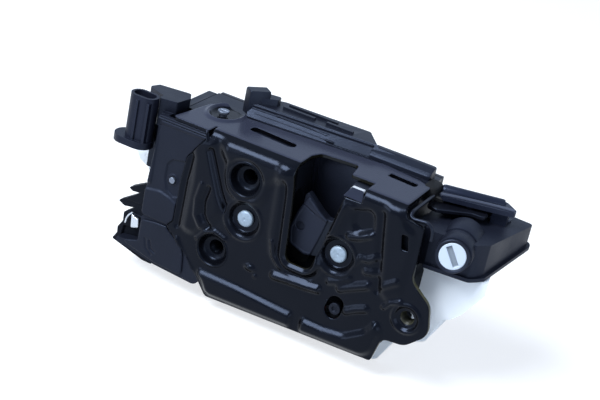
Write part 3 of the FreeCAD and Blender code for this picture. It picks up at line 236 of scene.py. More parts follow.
def add_piece(name, points, faces, slot, body, replaced=(), sharp=38.0, cut=None, smooth_below=0):
    """Closed mesh from points in millimetres, which rides on its body. cut is the share of the finish's
    second colour at each point. Edges between the first smooth_below points stay smooth at any angle."""
    mesh = bpy.data.meshes.new(name)
    mesh.from_pydata((np.asarray(points) * MM).tolist(), [], faces)
    mesh.shade_smooth()
    mesh.set_sharp_from_angle(angle=math.radians(sharp))
    if smooth_below:
        ends = np.empty(2 * len(mesh.edges), dtype=np.int32)
        mesh.edges.foreach_get("vertices", ends)
        creased = np.zeros(len(mesh.edges), dtype=bool)
        mesh.attributes["sharp_edge"].data.foreach_get("value", creased)
        creased &= (ends.reshape(-1, 2) >= smooth_below).any(axis=1)
        mesh.attributes["sharp_edge"].data.foreach_set("value", creased)
    if cut is not None:
        attribute = mesh.attributes.new("cut", "FLOAT", "POINT")
        attribute.data.foreach_set("value", np.asarray(cut, dtype=np.float32))
    mesh.materials.append(FINISH[slot])
    piece = bpy.data.objects.new(name, mesh)
    bpy.context.scene.collection.objects.link(piece)
    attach(piece, body)
    if replaced:
        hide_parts(*replaced)
    return piece


WELD_GAP = 0.01 * MM
COPLANAR = math.radians(0.5)
CREASE = math.radians(30.0)
EDGE_ROUND = 0.35 * MM


def softened(node):
    """Copy of a CAD node that stands for it: its triangles are joined into flat faces, and each edge
    sharper than CREASE gets a round of EDGE_ROUND."""
    source = nodes[node]
    mesh = source.data.copy()
    mesh.name = node + "_rounded"
    piece = bpy.data.objects.new(node + "_rounded", mesh)
    bpy.context.scene.collection.objects.link(piece)
    weld = piece.modifiers.new("weld", "WELD")
    weld.merge_threshold = WELD_GAP
    flat = piece.modifiers.new("flat", "DECIMATE")
    flat.decimate_type = "DISSOLVE"
    flat.angle_limit = COPLANAR
    bpy.context.view_layer.update()
    graph = bpy.context.evaluated_depsgraph_get()
    clean = bpy.data.meshes.new_from_object(piece.evaluated_get(graph))
    piece.modifiers.clear()
    piece.data = clean
    clean.shade_smooth()
    clean.set_sharp_from_angle(angle=CREASE)
    bevel = piece.modifiers.new("bevel", "BEVEL")
    bevel.width = EDGE_ROUND
    bevel.segments = 2
    bevel.limit_method = "ANGLE"
    bevel.angle_limit = CREASE
    bevel.use_clamp_overlap = True
    bevel.harden_normals = True
    clean.materials.clear()
    clean.materials.append(FINISH[finish_of[node]])
    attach(piece, source["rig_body"])
    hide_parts(node)


# Distances in a flat plane, in millimetres

def rounded(corners, pieces=6):
    """Outline of (u, v) or (u, v, radius) corners. A round's centre lies on the line that halves its
    corner, radius / sin(half the angle) away, and its arc is a run of equal turns from side to side."""
    out = []
    for i, here in enumerate(corners):
        p = np.array(here[:2], float)
        if len(here) < 3:
            out.append(p)
            continue
        a = np.array(corners[i - 1][:2], float) - p
        b = np.array(corners[(i + 1) % len(corners)][:2], float) - p
        a /= np.hypot(*a)
        b /= np.hypot(*b)
        half = math.acos(np.clip(a @ b, -1, 1)) / 2
        reach = here[2] / math.tan(half)
        middle = (a + b) / np.hypot(*(a + b))
        centre = p + middle * here[2] / math.sin(half)
        start = p + a * reach - centre
        end = p + b * reach - centre
        sweep = math.atan2(start[0] * end[1] - start[1] * end[0], start @ end)
        for t in np.linspace(0, sweep, pieces + 1):
            out.append(centre + np.array([start[0] * math.cos(t) - start[1] * math.sin(t),
                                          start[0] * math.sin(t) + start[1] * math.cos(t)]))
    return np.array(out)


SIDE_SHARE = 0.45


def eased(points, radius=7.0):
    """Outline with each corner rounded, where a round takes at most SIDE_SHARE of its shorter side."""
    points = np.asarray(points, float)
    back, on = np.roll(points, 1, 0) - points, np.roll(points, -1, 0) - points
    lengths = np.hypot(*back.T), np.hypot(*on.T)
    half = np.arccos(np.clip(np.sum(back * on, 1) / (lengths[0] * lengths[1]), -0.9999, 1)) / 2
    radii = np.minimum(radius, SIDE_SHARE * np.minimum(*lengths) * np.tan(half))
    return rounded([(x, y, r) for (x, y), r in zip(points, radii)])


def along(u, v, points, closed=False):
    """Distance from each place to a row of points: the least of those to its runs, each to the foot of
    the place on the run, held between the run's ends."""
    points = np.asarray(points, float)
    ends = np.roll(points, -1, 0) if closed else points[1:]
    starts = points if closed else points[:-1]
    best = np.full(u.shape, 1e9)
    for a, b in zip(starts, ends):
        d = b - a
        t = np.clip(((u - a[0]) * d[0] + (v - a[1]) * d[1]) / max(d @ d, 1e-12), 0, 1)
        best = np.minimum(best, np.hypot(u - a[0] - t * d[0], v - a[1] - t * d[1]))
    return best


def depth_in(u, v, points):
    """Distance inside a closed outline, negative outside it. A place is inside where a line from it to
    the left crosses the outline an odd number of times."""
    within = np.zeros(u.shape, bool)
    for a, b in zip(points, np.roll(points, -1, 0)):
        crosses = (a[1] > v) != (b[1] > v)
        rise = b[1] - a[1] if abs(b[1] - a[1]) > 1e-12 else 1e-12
        within ^= crosses & (u < (b[0] - a[0]) * (v - a[1]) / rise + a[0])
    far = along(u, v, points, True)
    return np.where(within, far, -far)


def hump(d, width):
    """Smooth rise 3 t^2 - 2 t^3 from 0 at a distance of width to 1 at no distance."""
    t = np.clip(1 - np.abs(d) / width, 0, 1)
    return t * t * (3 - 2 * t)


def step_up(d, width):
    """Smooth step 3 t^2 - 2 t^3 from 0 below -width to 1 above +width."""
    t = np.clip(d / (2 * width) + 0.5, 0, 1)
    return t * t * (3 - 2 * t)


def within(outline):
    """Distance inside an outline, as a function of place."""
    return lambda u, v: depth_in(u, v, outline)


def unpressed(u, v):
    """Height 0 all over."""
    return 0 * u


def pressed_sheet(name, box, step, inside, lift, fold, thick, slot, body="lock_body", replaced=(),
                  chamfer=0.3, tone=None, rim_tone=1.0, flat_back=False):
    """Sheet on a (u, v) grid. Its edge lies where inside(u, v) is zero, with the nearest grid points drawn
    onto it along the gradient. It is raised by lift(u, v), and fold(u, v, depth) carries it to its place.
    The rim is one row of quads at right angles, between two rows at 45 degrees that chamfer it. The second
    colour of its finish shows by tone(u, v) on the front and by rim_tone on the rim. A flat back takes no
    lift."""
    u, v = np.meshgrid(np.arange(box[0], box[1] + step, step), np.arange(box[2], box[3] + step, step),
                       indexing="ij")
    d = inside(u, v) - chamfer
    gu, gv = np.gradient(d, step)
    size = np.hypot(gu, gv) + 1e-9
    gu, gv = gu / size, gv / size
    near = np.abs(d) < step / 2
    u = np.where(near, u - gu * d, u)
    v = np.where(near, v - gv * d, v)
    keep = d > -step / 2
    index = np.arange(u.size).reshape(u.shape)
    corners = [index[:-1, :-1], index[1:, :-1], index[1:, 1:], index[:-1, 1:]]
    kept = [keep[:-1, :-1], keep[1:, :-1], keep[1:, 1:], keep[:-1, 1:]]
    count = sum(k.astype(int) for k in kept)
    quads = np.stack(corners, -1)[count == 4]
    triangles = []
    for k in range(4):
        lone = (count == 3) & ~kept[k]
        rest = [corners[(k + i) % 4] for i in (1, 2, 3)]
        triangles.append(np.stack(rest, -1)[lone])
    triangles = np.concatenate(triangles)
    used, inverse = np.unique(np.concatenate([quads.ravel(), triangles.ravel()]), return_inverse=True)
    quads = inverse[:quads.size].reshape(-1, 4)
    triangles = inverse[quads.size:].reshape(-1, 3)
    u, v, gu, gv = (part.ravel()[used] for part in (u, v, gu, gv))
    starts = np.concatenate([quads.ravel(), triangles.ravel()])
    ends = np.concatenate([np.roll(quads, -1, 1).ravel(), np.roll(triangles, -1, 1).ravel()])
    total = len(used)
    border = ~np.isin(starts * total + ends, ends * total + starts)
    a, b = starts[border], ends[border]
    rim, place = np.unique(np.concatenate([a, b]), return_inverse=True)
    ra, rb = place[:len(a)], place[len(a):]
    raise_by = lift(u, v)
    ru, rv = u[rim] - gu[rim] * chamfer, v[rim] - gv[rim] * chamfer
    rise = raise_by[rim]
    follow = 0.0 if flat_back else 1.0
    points = np.concatenate([fold(u, v, -raise_by), fold(u, v, thick - follow * raise_by),
                             fold(ru, rv, chamfer - rise), fold(ru, rv, thick - chamfer - follow * rise)])
    first, second = 2 * total, 2 * total + len(rim)
    faces = quads.tolist() + triangles.tolist()
    faces += (quads[:, ::-1] + total).tolist() + (triangles[:, ::-1] + total).tolist()
    faces += np.stack([b, a, first + ra, first + rb], -1).tolist()
    faces += np.stack([first + rb, first + ra, second + ra, second + rb], -1).tolist()
    faces += np.stack([second + rb, second + ra, total + a, total + b], -1).tolist()
    front = tone(u, v) if tone else np.zeros(total)
    edge = rim_tone(ru, rv) if callable(rim_tone) else np.full(len(rim), rim_tone)
    cut = np.concatenate([front, np.zeros(total), edge, edge])
    add_piece(name, points, faces, slot, body, replaced, cut=cut, smooth_below=2 * total)


def flat_at(y):
    """Places a sheet upright with its front at a depth."""
    return lambda u, v, depth: np.stack([u, y + depth, v], -1)


def lying_at(z):
    """Places a sheet flat with its upper side at a height."""
    return lambda u, v, depth: np.stack([u, v, z - depth], -1)


def unit(direction):
    """Direction divided by its length."""
    direction = np.array(direction, float)
    return direction / np.linalg.norm(direction)


def frame_of(axis, near=(0, 0, 1)):
    """Side, up and axis, all of length 1: side is near x axis, so it is level, and up is axis x side."""
    axis = unit(axis)
    side = unit(np.cross(near, axis))
    return side, np.cross(axis, side), axis


LATHE_CREASE = 40.0


def lathe(name, profile, centre, axis, slot, body="lock_body", replaced=(), turns=64):
    """Closed (radius, height) profile turned about an axis through a centre: a point is the centre
    + radius (side cos a + up sin a) + height axis, with its quads turned over where the profile runs the
    other way round."""
    profile = np.asarray(profile, float)
    side, up, axis = frame_of(axis)
    angle = np.linspace(0, 2 * math.pi, turns, endpoint=False)
    ring = np.cos(angle)[:, None] * side + np.sin(angle)[:, None] * up
    points = (np.array(centre, float) + ring[:, None, :] * profile[None, :, :1]
              + axis * profile[None, :, 1:]).reshape(-1, 3)
    count = len(profile)
    i, j = np.meshgrid(np.arange(turns), np.arange(count), indexing="ij")
    k, l = (i + 1) % turns, (j + 1) % count
    quads = np.stack([i * count + j, k * count + j, k * count + l, i * count + l], -1).reshape(-1, 4)
    area = np.sum(profile[:, 0] * np.roll(profile[:, 1], -1) - np.roll(profile[:, 0], -1) * profile[:, 1])
    if area < 0:
        quads = quads[:, ::-1]
    add_piece(name, points, quads.tolist(), slot, body, replaced, LATHE_CREASE)


def loft(name, sections, slot, replaced=(), sharp=30.0):
    """Closed skin on lock_body through equal rings of points, one ring per row, with flat ends. Its faces
    point outwards where the rings turn to the right as seen along the rows."""
    sections = np.asarray(sections, float)
    rows, count = sections.shape[:2]
    i, j = np.meshgrid(np.arange(rows - 1), np.arange(count), indexing="ij")
    l = (j + 1) % count
    quads = np.stack([i * count + j, i * count + l, (i + 1) * count + l, (i + 1) * count + j], -1)
    faces = quads.reshape(-1, 4).tolist()
    faces += [list(range(count))[::-1], [(rows - 1) * count + k for k in range(count)]]
    add_piece(name, sections.reshape(-1, 3), faces, slot, "lock_body", replaced, sharp)


def tapered(ring, start, end, stations, scales):
    """Rings of a flat outline (a, b) at stations from start, 0, to end, 1: each is the middle of the
    outline's points + scale (outline - middle)."""
    ring = np.asarray(ring, float)
    middle = ring.mean(axis=0)
    rings = [middle + (ring - middle) * k for k in scales]
    return [(start + (end - start) * t, r) for t, r in zip(stations, rings)]


def along_x(rows):
    """Rings (y, z) to points at their x."""
    return [np.column_stack([np.full(len(r), x), r[:, 0], r[:, 1]]) for x, r in rows]


def upright(rows):
    """Rings (x, y) to points at their z."""
    return [np.column_stack([r[:, 0], r[:, 1], np.full(len(r), z)]) for z, r in rows]


def stud(name, outline, low, high, stations, scales, slot, replaced=()):
    """Upright block with a flat outline (x, y), from low to high, that narrows as tapered says."""
    loft(name, upright(tapered(outline, low, high, stations, scales)), slot, replaced)


TUBE_CREASE = 50.0
EASING_PASSES = 3
# No tube runs along this direction
OFF_THE_PATH = (0.3, 0.2, 0.93)


def tube(name, path, radius, slot, pieces=8, turns=14):
    """Round bar along a row of points. The path is cut into equal short runs, and its bends are
    eased by passes that move each point to (the one before + 2 x itself + the one after) / 4. A ring is
    the point + radius (side cos a + up sin a)."""
    path = np.asarray(path, float)
    step = np.concatenate([[0], np.cumsum(np.linalg.norm(np.diff(path, axis=0), axis=1))])
    at = np.linspace(0, step[-1], pieces * len(path))
    fine = np.stack([np.interp(at, step, path[:, k]) for k in range(3)], -1)
    for _ in range(EASING_PASSES):
        fine[1:-1] = (fine[:-2] + 2 * fine[1:-1] + fine[2:]) / 4
    run = np.gradient(fine, axis=0)
    run /= np.linalg.norm(run, axis=1)[:, None]
    side = np.cross(run, OFF_THE_PATH)
    side /= np.linalg.norm(side, axis=1)[:, None]
    up = np.cross(run, side)
    angle = np.linspace(0, 2 * math.pi, turns, endpoint=False)
    rings = fine[:, None] + radius * (np.cos(angle)[None, :, None] * side[:, None]
                                      + np.sin(angle)[None, :, None] * up[:, None])
    loft(name, rings, slot, sharp=TUBE_CREASE)


RIB_CREASE = 25.0


def rib(name, path, width, height, slot, top=0.6, round_by=0.25, foot=0.3):
    """Raised bar on lock_body along a row of points. Its section is straight to half its height, narrows
    to the share top of its width, and reaches foot below its path."""
    path = np.asarray(path, float)
    run = np.gradient(path, axis=0)
    run /= np.linalg.norm(run, axis=1)[:, None]
    up = np.array((0.0, 0.0, 1.0))
    side = np.cross(run, up)
    side /= np.linalg.norm(side, axis=1)[:, None]
    half, inner = width / 2, width / 2 * top
    section = np.array([(-half, -foot), (-half, height * 0.5), (-inner, height - round_by),
                        (-inner + round_by, height), (inner - round_by, height), (inner, height - round_by),
                        (half, height * 0.5), (half, -foot)])
    points = path[:, None, :] + side[:, None, :] * section[None, :, :1] + up * section[None, :, 1:]
    loft(name, points, slot, sharp=RIB_CREASE)


# Latch plate

FACE_TOP = 11.5
BEND = 5.0
FLAT_FROM = FACE_TOP + BEND * math.pi / 2
FLANGE_SHIFT = FLAT_FROM - BEND
SLIT_LEFT, SLIT_RIGHT = -22.8, -22.0
PLATE_THICK = 2.0
PLATE_GRID = 0.55


def bend_over(u, v, depth):
    """Flat pattern of the plate to its place. The face stands upright to FACE_TOP, then v runs along a
    quarter turn of radius BEND, and past FLAT_FROM the flange lies flat to the rear. Left of the slit the
    flange starts at FACE_TOP with no bend."""
    turn = np.clip((v - FACE_TOP) / BEND, 0, math.pi / 2)
    radius = BEND - depth
    y = BEND - radius * np.cos(turn) + np.maximum(v - FLAT_FROM, 0)
    z = np.minimum(v, FACE_TOP) + radius * np.sin(turn)
    lying = (u < (SLIT_LEFT + SLIT_RIGHT) / 2) & (v > FACE_TOP)
    y = np.where(lying, v - FLANGE_SHIFT, y)
    z = np.where(lying, FACE_TOP + BEND - depth, z)
    return np.stack([u, y, z], -1)


def flange_at(points):
    """Flange points (x, y) or (x, y, radius) in the flat pattern."""
    return [(p[0], p[1] + FLANGE_SHIFT) + tuple(p[2:]) for p in points]


EAR = (89.8, -34.3)
EAR_HOLE = 3.4
FUNNEL_HOLE = 8.2
FUNNEL_RISE = 1.1
RIVET_HOLE = 3.05
FLANGE_SCREW = (-28.9, FLANGE_SHIFT + 23.0)
FLANGE_SCREW_HOLE = 1.8
PLATE = rounded(
    [(SLIT_RIGHT, FLAT_FROM + 1.5), (SLIT_LEFT, FLAT_FROM + 1.5), (SLIT_LEFT, FLANGE_SHIFT),
     (-42.5, FLANGE_SHIFT, 2)]
    + flange_at([(-39, 28, 4), (-33.5, 33.5, 4), (-25.5, 33, 3), (-18.5, 27.7, 4), (46.2, 34.2),
                 (51, 35.1, 2), (69.9, 32.5, 3), (77, 29.4, 3), (77, 3)])
    + [(78, 13.5), (79, 11.4), (87.5, 10, 2), (88, -15.8, 6), (98.8, -24.1, 7), (101.56, -38.3, 8),
       (91.8, -47.74, 8), (81, -48.8, 4), (78, -61.9, 1.5), (20.9, -64.5), (-9.9, -65.9, 3), (-14.7, -60, 4),
       (-25.7, -47, 5), (-37, -39, 2), (-33.4, -35, 2), (-33.2, -13, 6), (-31.8, -0.7, 4),
       (SLIT_RIGHT, 13.5)])
MOUTH = rounded(
    [(23.5, 11), (24.9, -0.7, 20), (27.1, -30.8, 4), (39.8, -30.8, 4.5), (45.2, -7.6, 20), (48.9, 10.1),
     (56.9, 10.1)]
    + flange_at([(56.9, 11.6), (45.4, 11.6), (43.2, 23.6, 2), (25.5, 21.0, 3), (23.1, 14.6)]))
FLANGE_SLOTS = [
    rounded(flange_at([(-11, 16.4, 2.2), (13, 14.6, 2.2), (13, 20.2, 2.2), (-11, 22.0, 2.2)])),
    rounded(flange_at([(57.5, 24.4, 0.6), (71.4, 23.4, 0.6), (71.4, 27.4, 0.6), (57.5, 28.4, 0.6)]))]
WINDOW = rounded([(78.6, 4.2, 0.6), (81.8, 4.2, 0.6), (83.3, -2.8, 0.6), (80, -2.8, 0.6)])
SCREW_SLOT = [(55.8, -41.8), (54.9, -45.4)]
SCREW_SLOT_RADIUS = 4.1
FIXINGS = [(0.0, 0.0), (-10.3, -40.9)]
RIVETS = [(2.5, -20.0), (51.0, -18.5)]


ROUND_HOLES = ([(centre, FUNNEL_HOLE) for centre in FIXINGS] + [(EAR, EAR_HOLE)]
               + [(centre, RIVET_HOLE) for centre in RIVETS] + [(FLANGE_SCREW, FLANGE_SCREW_HOLE)])


def plate_inside(u, v):
    """The least of the distances inside the plate's outline and outside each of its holes."""
    d = depth_in(u, v, PLATE)
    for hole in [MOUTH, WINDOW] + FLANGE_SLOTS:
        d = np.minimum(d, -depth_in(u, v, hole))
    for (x, z), radius in ROUND_HOLES:
        d = np.minimum(d, np.hypot(u - x, v - z) - radius)
    return np.minimum(d, along(u, v, SCREW_SLOT) - SCREW_SLOT_RADIUS)


def pad(u, v, outline, height, fall):
    """Raised or sunken field: height x a smooth step across its outline, fall to each side."""
    return height * step_up(depth_in(u, v, outline), fall)


def bead(u, v, line, height, width):
    """Rounded bead or groove: height x a smooth rise to its line from width away."""
    return height * hump(along(u, v, line), width)


PILLAR = eased(
    [(-30.5, 11), (-27.2, 0.5), (-26.6, -11), (-27.2, -25), (-27.5, -36), (-22, -36.5), (-18.5, -33),
     (-13.5, -28.5), (-9.3, -20), (-12.2, -10), (-16.2, -1), (-19.5, 7.5), (-18, 11.5)])
UPPER_PAD = eased(
    [(-14.5, 18), (-13.8, 9.3), (-10.0, 4.5), (-9.0, -1), (-7.5, -7.6), (-1, -11.6), (7, -10.6), (10.4, -5),
     (11.4, 2), (15, 5.6), (22.5, 6.8), (22.5, 18)])
MOUTH_BAND = eased(
    [(15.6, 18), (15.6, 8), (16.2, -6), (16.6, -20), (18.8, -30), (23.5, -35.0), (31, -36.6), (39, -35.8),
     (44.5, -31.6), (47, -24), (49.5, -12), (52.5, 3), (54.6, 8.4), (50, 9.5), (24.5, 9.5), (24.5, 18)])
POCKET = eased([(53.8, 7.0), (63.8, 9.0), (65.6, 1.6), (65.2, -2.4), (58, -3.2), (55.6, -1)])
RIGHT_FIELD = eased(
    [(68.5, 17), (69.4, 9.5), (70.8, 0), (73.2, -14), (74.8, -26), (79, -30), (84, -24), (84.6, -8),
     (84.6, 6), (78, 9.0), (76, 17)])
LOWER_FIELD = eased(
    [(-12, -58.5), (-17, -53.5), (5, -53.8), (30, -55.2), (52, -55.8), (63.5, -54.4), (72.2, -48.5),
     (76.8, -41.6), (79.6, -45.6), (76.8, -60.2), (20, -62.6), (-9, -63.6)])

# Pressed forms as (pad or bead, outline or line, height, fall or width)
LEFT_FORMS = [
    (pad, UPPER_PAD, 2.4, 3.2),
    (pad, PILLAR, 1.7, 2.7),
    (bead, [(-19.9, 7.2), (-15.9, -2), (-11.4, -12), (-7.4, -19)], -2.0, 2.2),
    (bead, [(-29.4, 1), (-30.6, -11), (-30.8, -24.6), (-31.0, -36)], -1.2, 2.2),
    (bead, [(-17.4, -11), (-18.8, -18), (-17.9, -24.5), (-14.4, -29.8)], -1.6, 2.2),
    (bead, [(-20.8, -10), (-22.2, -18), (-21.4, -26), (-17.8, -31.2)], 0.8, 2.0),
    (pad, MOUTH_BAND, 0.9, 2.0),
]
RIGHT_FORMS = [
    (bead, [(23.4, -40.2), (31, -39.4), (40, -38.8), (45.6, -38.0)], 2.2, 3.2),
    (bead, [(19.2, -24), (21.6, -31.2), (26, -34.9)], 0.8, 1.8),
    (pad, POCKET, -1.5, 1.9),
    (bead, [(55.2, -6.8), (60, -5.2), (64.4, -2.4)], 1.6, 3.0),
    (pad, RIGHT_FIELD, 1.2, 2.4),
    (bead, [(67.6, 9), (69.4, -2), (71.6, -16), (73.4, -27)], -1.0, 2.6),
    (bead, [(60.4, -18.1), (62.6, -14.8), (66.4, -14.0), (70, -11.6)], 1.2, 2.6),
    (bead, [(66.5, -20.0), (71.8, -18.9)], 1.1, 2.8),
    (bead, [(56.4, -33.0), (62.5, -29.6), (68.6, -26.4)], 1.6, 3.2),
    (bead, [(76.2, -22.9), (81.6, -18.8)], 1.1, 2.8),
    (bead, [(61.6, -42.6), (66, -39.8), (70.4, -37.8)], 1.4, 3.0),
    (bead, [(50.6, -31.8), (55, -30.0), (59.4, -26.6)], 1.1, 2.8),
]
FOOT_BEAD = [(-29.6, -43.0), (-24.6, -50.2), (-20, -55.0)]
FUNNEL_RIDGE = [(-18.9, -37.8), (-15.6, -33.2), (-10.6, -31.0), (-4.6, -32.8)]
EAR_RIDGE = [(78.4, -33.0), (81, -29.8), (85.2, -27.6)]
OVAL_KNOB, OVAL_SQUEEZE = (10.6, -41.6), 0.6
ROUND_KNOB = (14.0, -44.8)
DISH, DISH_STRETCH = (-27.8, FLANGE_SHIFT + 24.4), 1.35


def pressed(u, v, forms):
    """Sum of the heights of a list of forms."""
    return sum(form(u, v, line, height, width) for form, line, height, width in forms)


def mouth_lips(u, v):
    """Rolled lip 1.8 mm off the mouth's edge, and a groove beside it left of x 46, both below its top."""
    off = -depth_in(u, v, MOUTH)
    face = step_up(7.0 - v, 2.0)
    return (1.5 * hump(off - 1.8, 2.1) - 0.9 * hump(off - 4.7, 1.7) * step_up(46 - u, 3)) * face


def round_rivets(u, v, rise):
    """Flat ring cleared round each rivet, with a dish 3.2 deep at its head and a low lip between."""
    for x, z in RIVETS:
        r = np.hypot(u - x, v - z)
        rise = rise * step_up(r - 10.0, 1.2) - 3.2 * (1 - step_up(r - 7.4, 0.9)) + 0.7 * hump(r - 9.6, 1.4)
    return rise


def round_fixings(u, v, rise):
    """Land at FUNNEL_RISE round the upper funnel, flat land round the lower one with a ridge over it."""
    upper, lower = (np.hypot(u - x, v - z) for x, z in FIXINGS)
    rise = rise + (FUNNEL_RISE - rise) * (1 - step_up(upper - 10.2, 1.2))
    return rise * step_up(lower - 10.0, 1.0) + bead(u, v, FUNNEL_RIDGE, 1.4, 2.0)


def round_ear(u, v, rise):
    """Flat land round the ear's hole with a raised ring, a sunken middle and a ridge over it."""
    r = np.hypot(u - EAR[0], v - EAR[1])
    ring = 0.9 * hump(r - 6.6, 1.6) - 0.9 * (1 - step_up(r - 5.2, 0.8))
    return rise * step_up(r - 8.6, 1.2) + ring + bead(u, v, EAR_RIDGE, 1.4, 2.1)


def plate_lift(u, v):
    """Pressed forms of the plate, in front of its flat face. They fade out over the bend, behind which
    the flange has only the dish of its screw, as an oval ring with a sunken middle."""
    rise = pressed(u, v, LEFT_FORMS) + mouth_lips(u, v) + pressed(u, v, RIGHT_FORMS)
    ends = step_up(u + 16.5, 1.5) - step_up(u - 36.0, 1.2) * step_up(41.5 - u, 1.6)
    rise += pad(u, v, LOWER_FIELD, 2.3, 2.0) * ends + bead(u, v, FOOT_BEAD, 1.2, 2.4)
    rise += 1.4 * hump(np.hypot((u - OVAL_KNOB[0]) * OVAL_SQUEEZE, v - OVAL_KNOB[1]), 2.6)
    rise += 0.9 * hump(np.hypot(u - ROUND_KNOB[0], v - ROUND_KNOB[1]), 1.7)
    rise = round_ear(u, v, round_fixings(u, v, round_rivets(u, v, rise)))
    rise *= step_up(FACE_TOP + 2.0 - v, 3.6)
    dish = np.hypot(u - DISH[0], (v - DISH[1]) / DISH_STRETCH)
    return rise + 1.0 * hump(dish - 8.4, 1.6) - 1.3 * (1 - step_up(dish - 6.9, 1.0))


def bare_rim(u, v):
    """Share of bare steel: 0.6 along the outline at the lower right, 0.08 near the mouth."""
    side = (depth_in(u, v, PLATE) < 1.5) * step_up(u - 72, 3) * step_up(-12 - v, 4) * step_up(v + 58, 4)
    near_mouth = step_up(3.0 - np.abs(depth_in(u, v, MOUTH)), 1)
    return np.clip(0.6 * side + 0.08 * near_mouth, 0, 1)


pressed_sheet("latch_plate_sheet", (-44, 103, -67, 51), PLATE_GRID, plate_inside, plate_lift, bend_over,
              PLATE_THICK, "black_coated_steel", replaced=("latch_plate",), rim_tone=bare_rim)

REARWARD = (0, 1, 0)
HALF_PITCH = 0.5


def thread(start, count, depth):
    """Profile of a thread on a 3.4 mm radius, whose crests stand depth inwards, one each second point."""
    return [(3.4 - depth * (k % 2), start + HALF_PITCH * k) for k in range(count)]


def funnel_piece(name, centre, rise):
    """Pressed funnel with a threaded collar behind it. Its rim stands rise in front of the face."""
    rim = [(9.3, 1.7), (9.3, 0.5), (9.0, 0.05), (8.6, -0.25), (8.1, -0.3), (7.7, 0.0), (7.4, 0.7)]
    cone = [(6.9, 1.9), (6.3, 3.1), (5.7, 3.7), (4.6, 4.1), (3.8, 4.3)]
    back = [(3.6, 13.0), (5.1, 13.0), (5.4, 12.7), (5.4, 5.9), (6.6, 5.2), (8.4, 3.2)]
    lathe(name, [(r, y - rise) for r, y in rim] + cone + thread(5.0, 16, 0.45) + back,
          (centre[0], 0, centre[1]), REARWARD, "funnel_coat", turns=72)


funnel_piece("funnel_upper", FIXINGS[0], FUNNEL_RISE)
funnel_piece("funnel_lower", FIXINGS[1], 0.0)
lathe("ear_collar", [(4.6, 0.4), (4.1, 0.3), (3.7, 0.5)] + thread(0.9, 14, 0.4)
      + [(3.6, 8.0), (6.3, 8.0), (6.6, 7.7), (6.6, 1.5), (4.6, 1.5)], (EAR[0], 0.6, EAR[1]), REARWARD,
      "ear_coat", turns=56)

# Hook tab of the plate
TAB = rounded([(47.6, 10.4), (57.0, 10.2), (56.7, 16.0, 0.5), (50.8, 16.0, 0.5)])
# The top of its rim takes the light grey second colour, as a painted highlight
pressed_sheet("hook_tab", (46, 59, 9, 17), 0.3, within(TAB), unpressed, flat_at(0.4), 2.1, "tab_steel",
              chamfer=0.15, rim_tone=lambda u, v: step_up(v - 15.2, 0.3))


# Claw: dark jacket over the catch

CLAW_PIVOT = RIVETS[1]
JACKET_HUB = 5.05
JACKET_HOLE, JACKET_HOLE_RADIUS = (28.5, -14.2), 2.2


def claw_at(radius, degrees, *round_by):
    """A corner at a radius and an angle about the claw's pivot."""
    a = math.radians(degrees)
    return (CLAW_PIVOT[0] + radius * math.cos(a), CLAW_PIVOT[1] + radius * math.sin(a)) + round_by


JACKET = rounded(
    [claw_at(30.4, 79, 1.5), claw_at(30.4, 94, 1.5), claw_at(24, 101, 2), claw_at(15, 108, 3),
     claw_at(15, 130, 3), claw_at(20, 134.6, 4), claw_at(28.4, 136.6, 0.7), claw_at(28.4, 140, 0.7),
     claw_at(27.6, 149, 1), claw_at(27.4, 156), claw_at(27.7, 176), claw_at(27, 193, 3), claw_at(20, 206, 4),
     claw_at(13, 214, 3)] + [claw_at(13, a) for a in (240, 270, 300, 330, 360)]
    + [claw_at(14, 30), claw_at(17, 60, 4)])
HUB_SIDE = np.array([(60, 20), (41.8, -3.2), (40.6, -9), (38.6, -17.5), (35.7, -28.1), (34, -60), (80, -60)])


def hub_side(u, v):
    """1 on the hub's side of the horn and 0 on the horn."""
    return step_up(depth_in(u, v, HUB_SIDE), 0.35)


def jacket_inside(u, v):
    """The least of the distances inside the jacket and outside its hub and its hole."""
    hub = np.hypot(u - CLAW_PIVOT[0], v - CLAW_PIVOT[1]) - JACKET_HUB
    hole = np.hypot(u - JACKET_HOLE[0], v - JACKET_HOLE[1]) - JACKET_HOLE_RADIUS
    return np.minimum(np.minimum(depth_in(u, v, JACKET), hub), hole)


def jacket_lift(u, v):
    """Step across the horn, a rim along its tip and a lower field beside the pivot."""
    d = depth_in(u, v, JACKET)
    rise = -0.4 * hump(along(u, v, [(26.5, -3.4), (29.2, -3.9), (33.6, -5.9)]), 0.7)
    rise += 0.25 * step_up(v + 4.2 - 0.25 * (28 - u), 0.5)
    lower = hub_side(u, v)
    return rise - 0.45 * lower + 0.2 * hump(d - 0.9, 0.7) * (1 - lower)


pressed_sheet("claw_jacket_shell", (20, 74, -34, 14), 0.3, jacket_inside, jacket_lift, flat_at(5.6), 0.75,
              "claw_skin", "claw", ("claw_jacket",), chamfer=0.1, flat_back=True, tone=hub_side,
              rim_tone=0.0)


# Slotted rotor

ROTOR_FACE = np.array((101.4, 5.2, 0.2))
ROTOR_AXIS = unit((0.2, -0.95, 0.15))
ROTOR_SIDE, ROTOR_UP, _ = frame_of(ROTOR_AXIS)
ROTOR_SLANT = math.radians(-57.0)
ROTOR_RADIUS = 6.1
SLOT_HALF_LENGTH, SLOT_HALF_WIDTH = 4.7, 1.25


def rotor_fold(u, v, depth):
    """Places the disc on the rotor's axis."""
    return (ROTOR_FACE + u[..., None] * ROTOR_SIDE + v[..., None] * ROTOR_UP
            - np.asarray(depth)[..., None] * ROTOR_AXIS)


def slot_depth(u, v):
    """Distance inside the rotor's slot, a rectangle turned by ROTOR_SLANT about the disc's middle."""
    p = u * math.cos(ROTOR_SLANT) + v * math.sin(ROTOR_SLANT)
    q = -u * math.sin(ROTOR_SLANT) + v * math.cos(ROTOR_SLANT)
    return np.minimum(SLOT_HALF_LENGTH - np.abs(p), SLOT_HALF_WIDTH - np.abs(q))


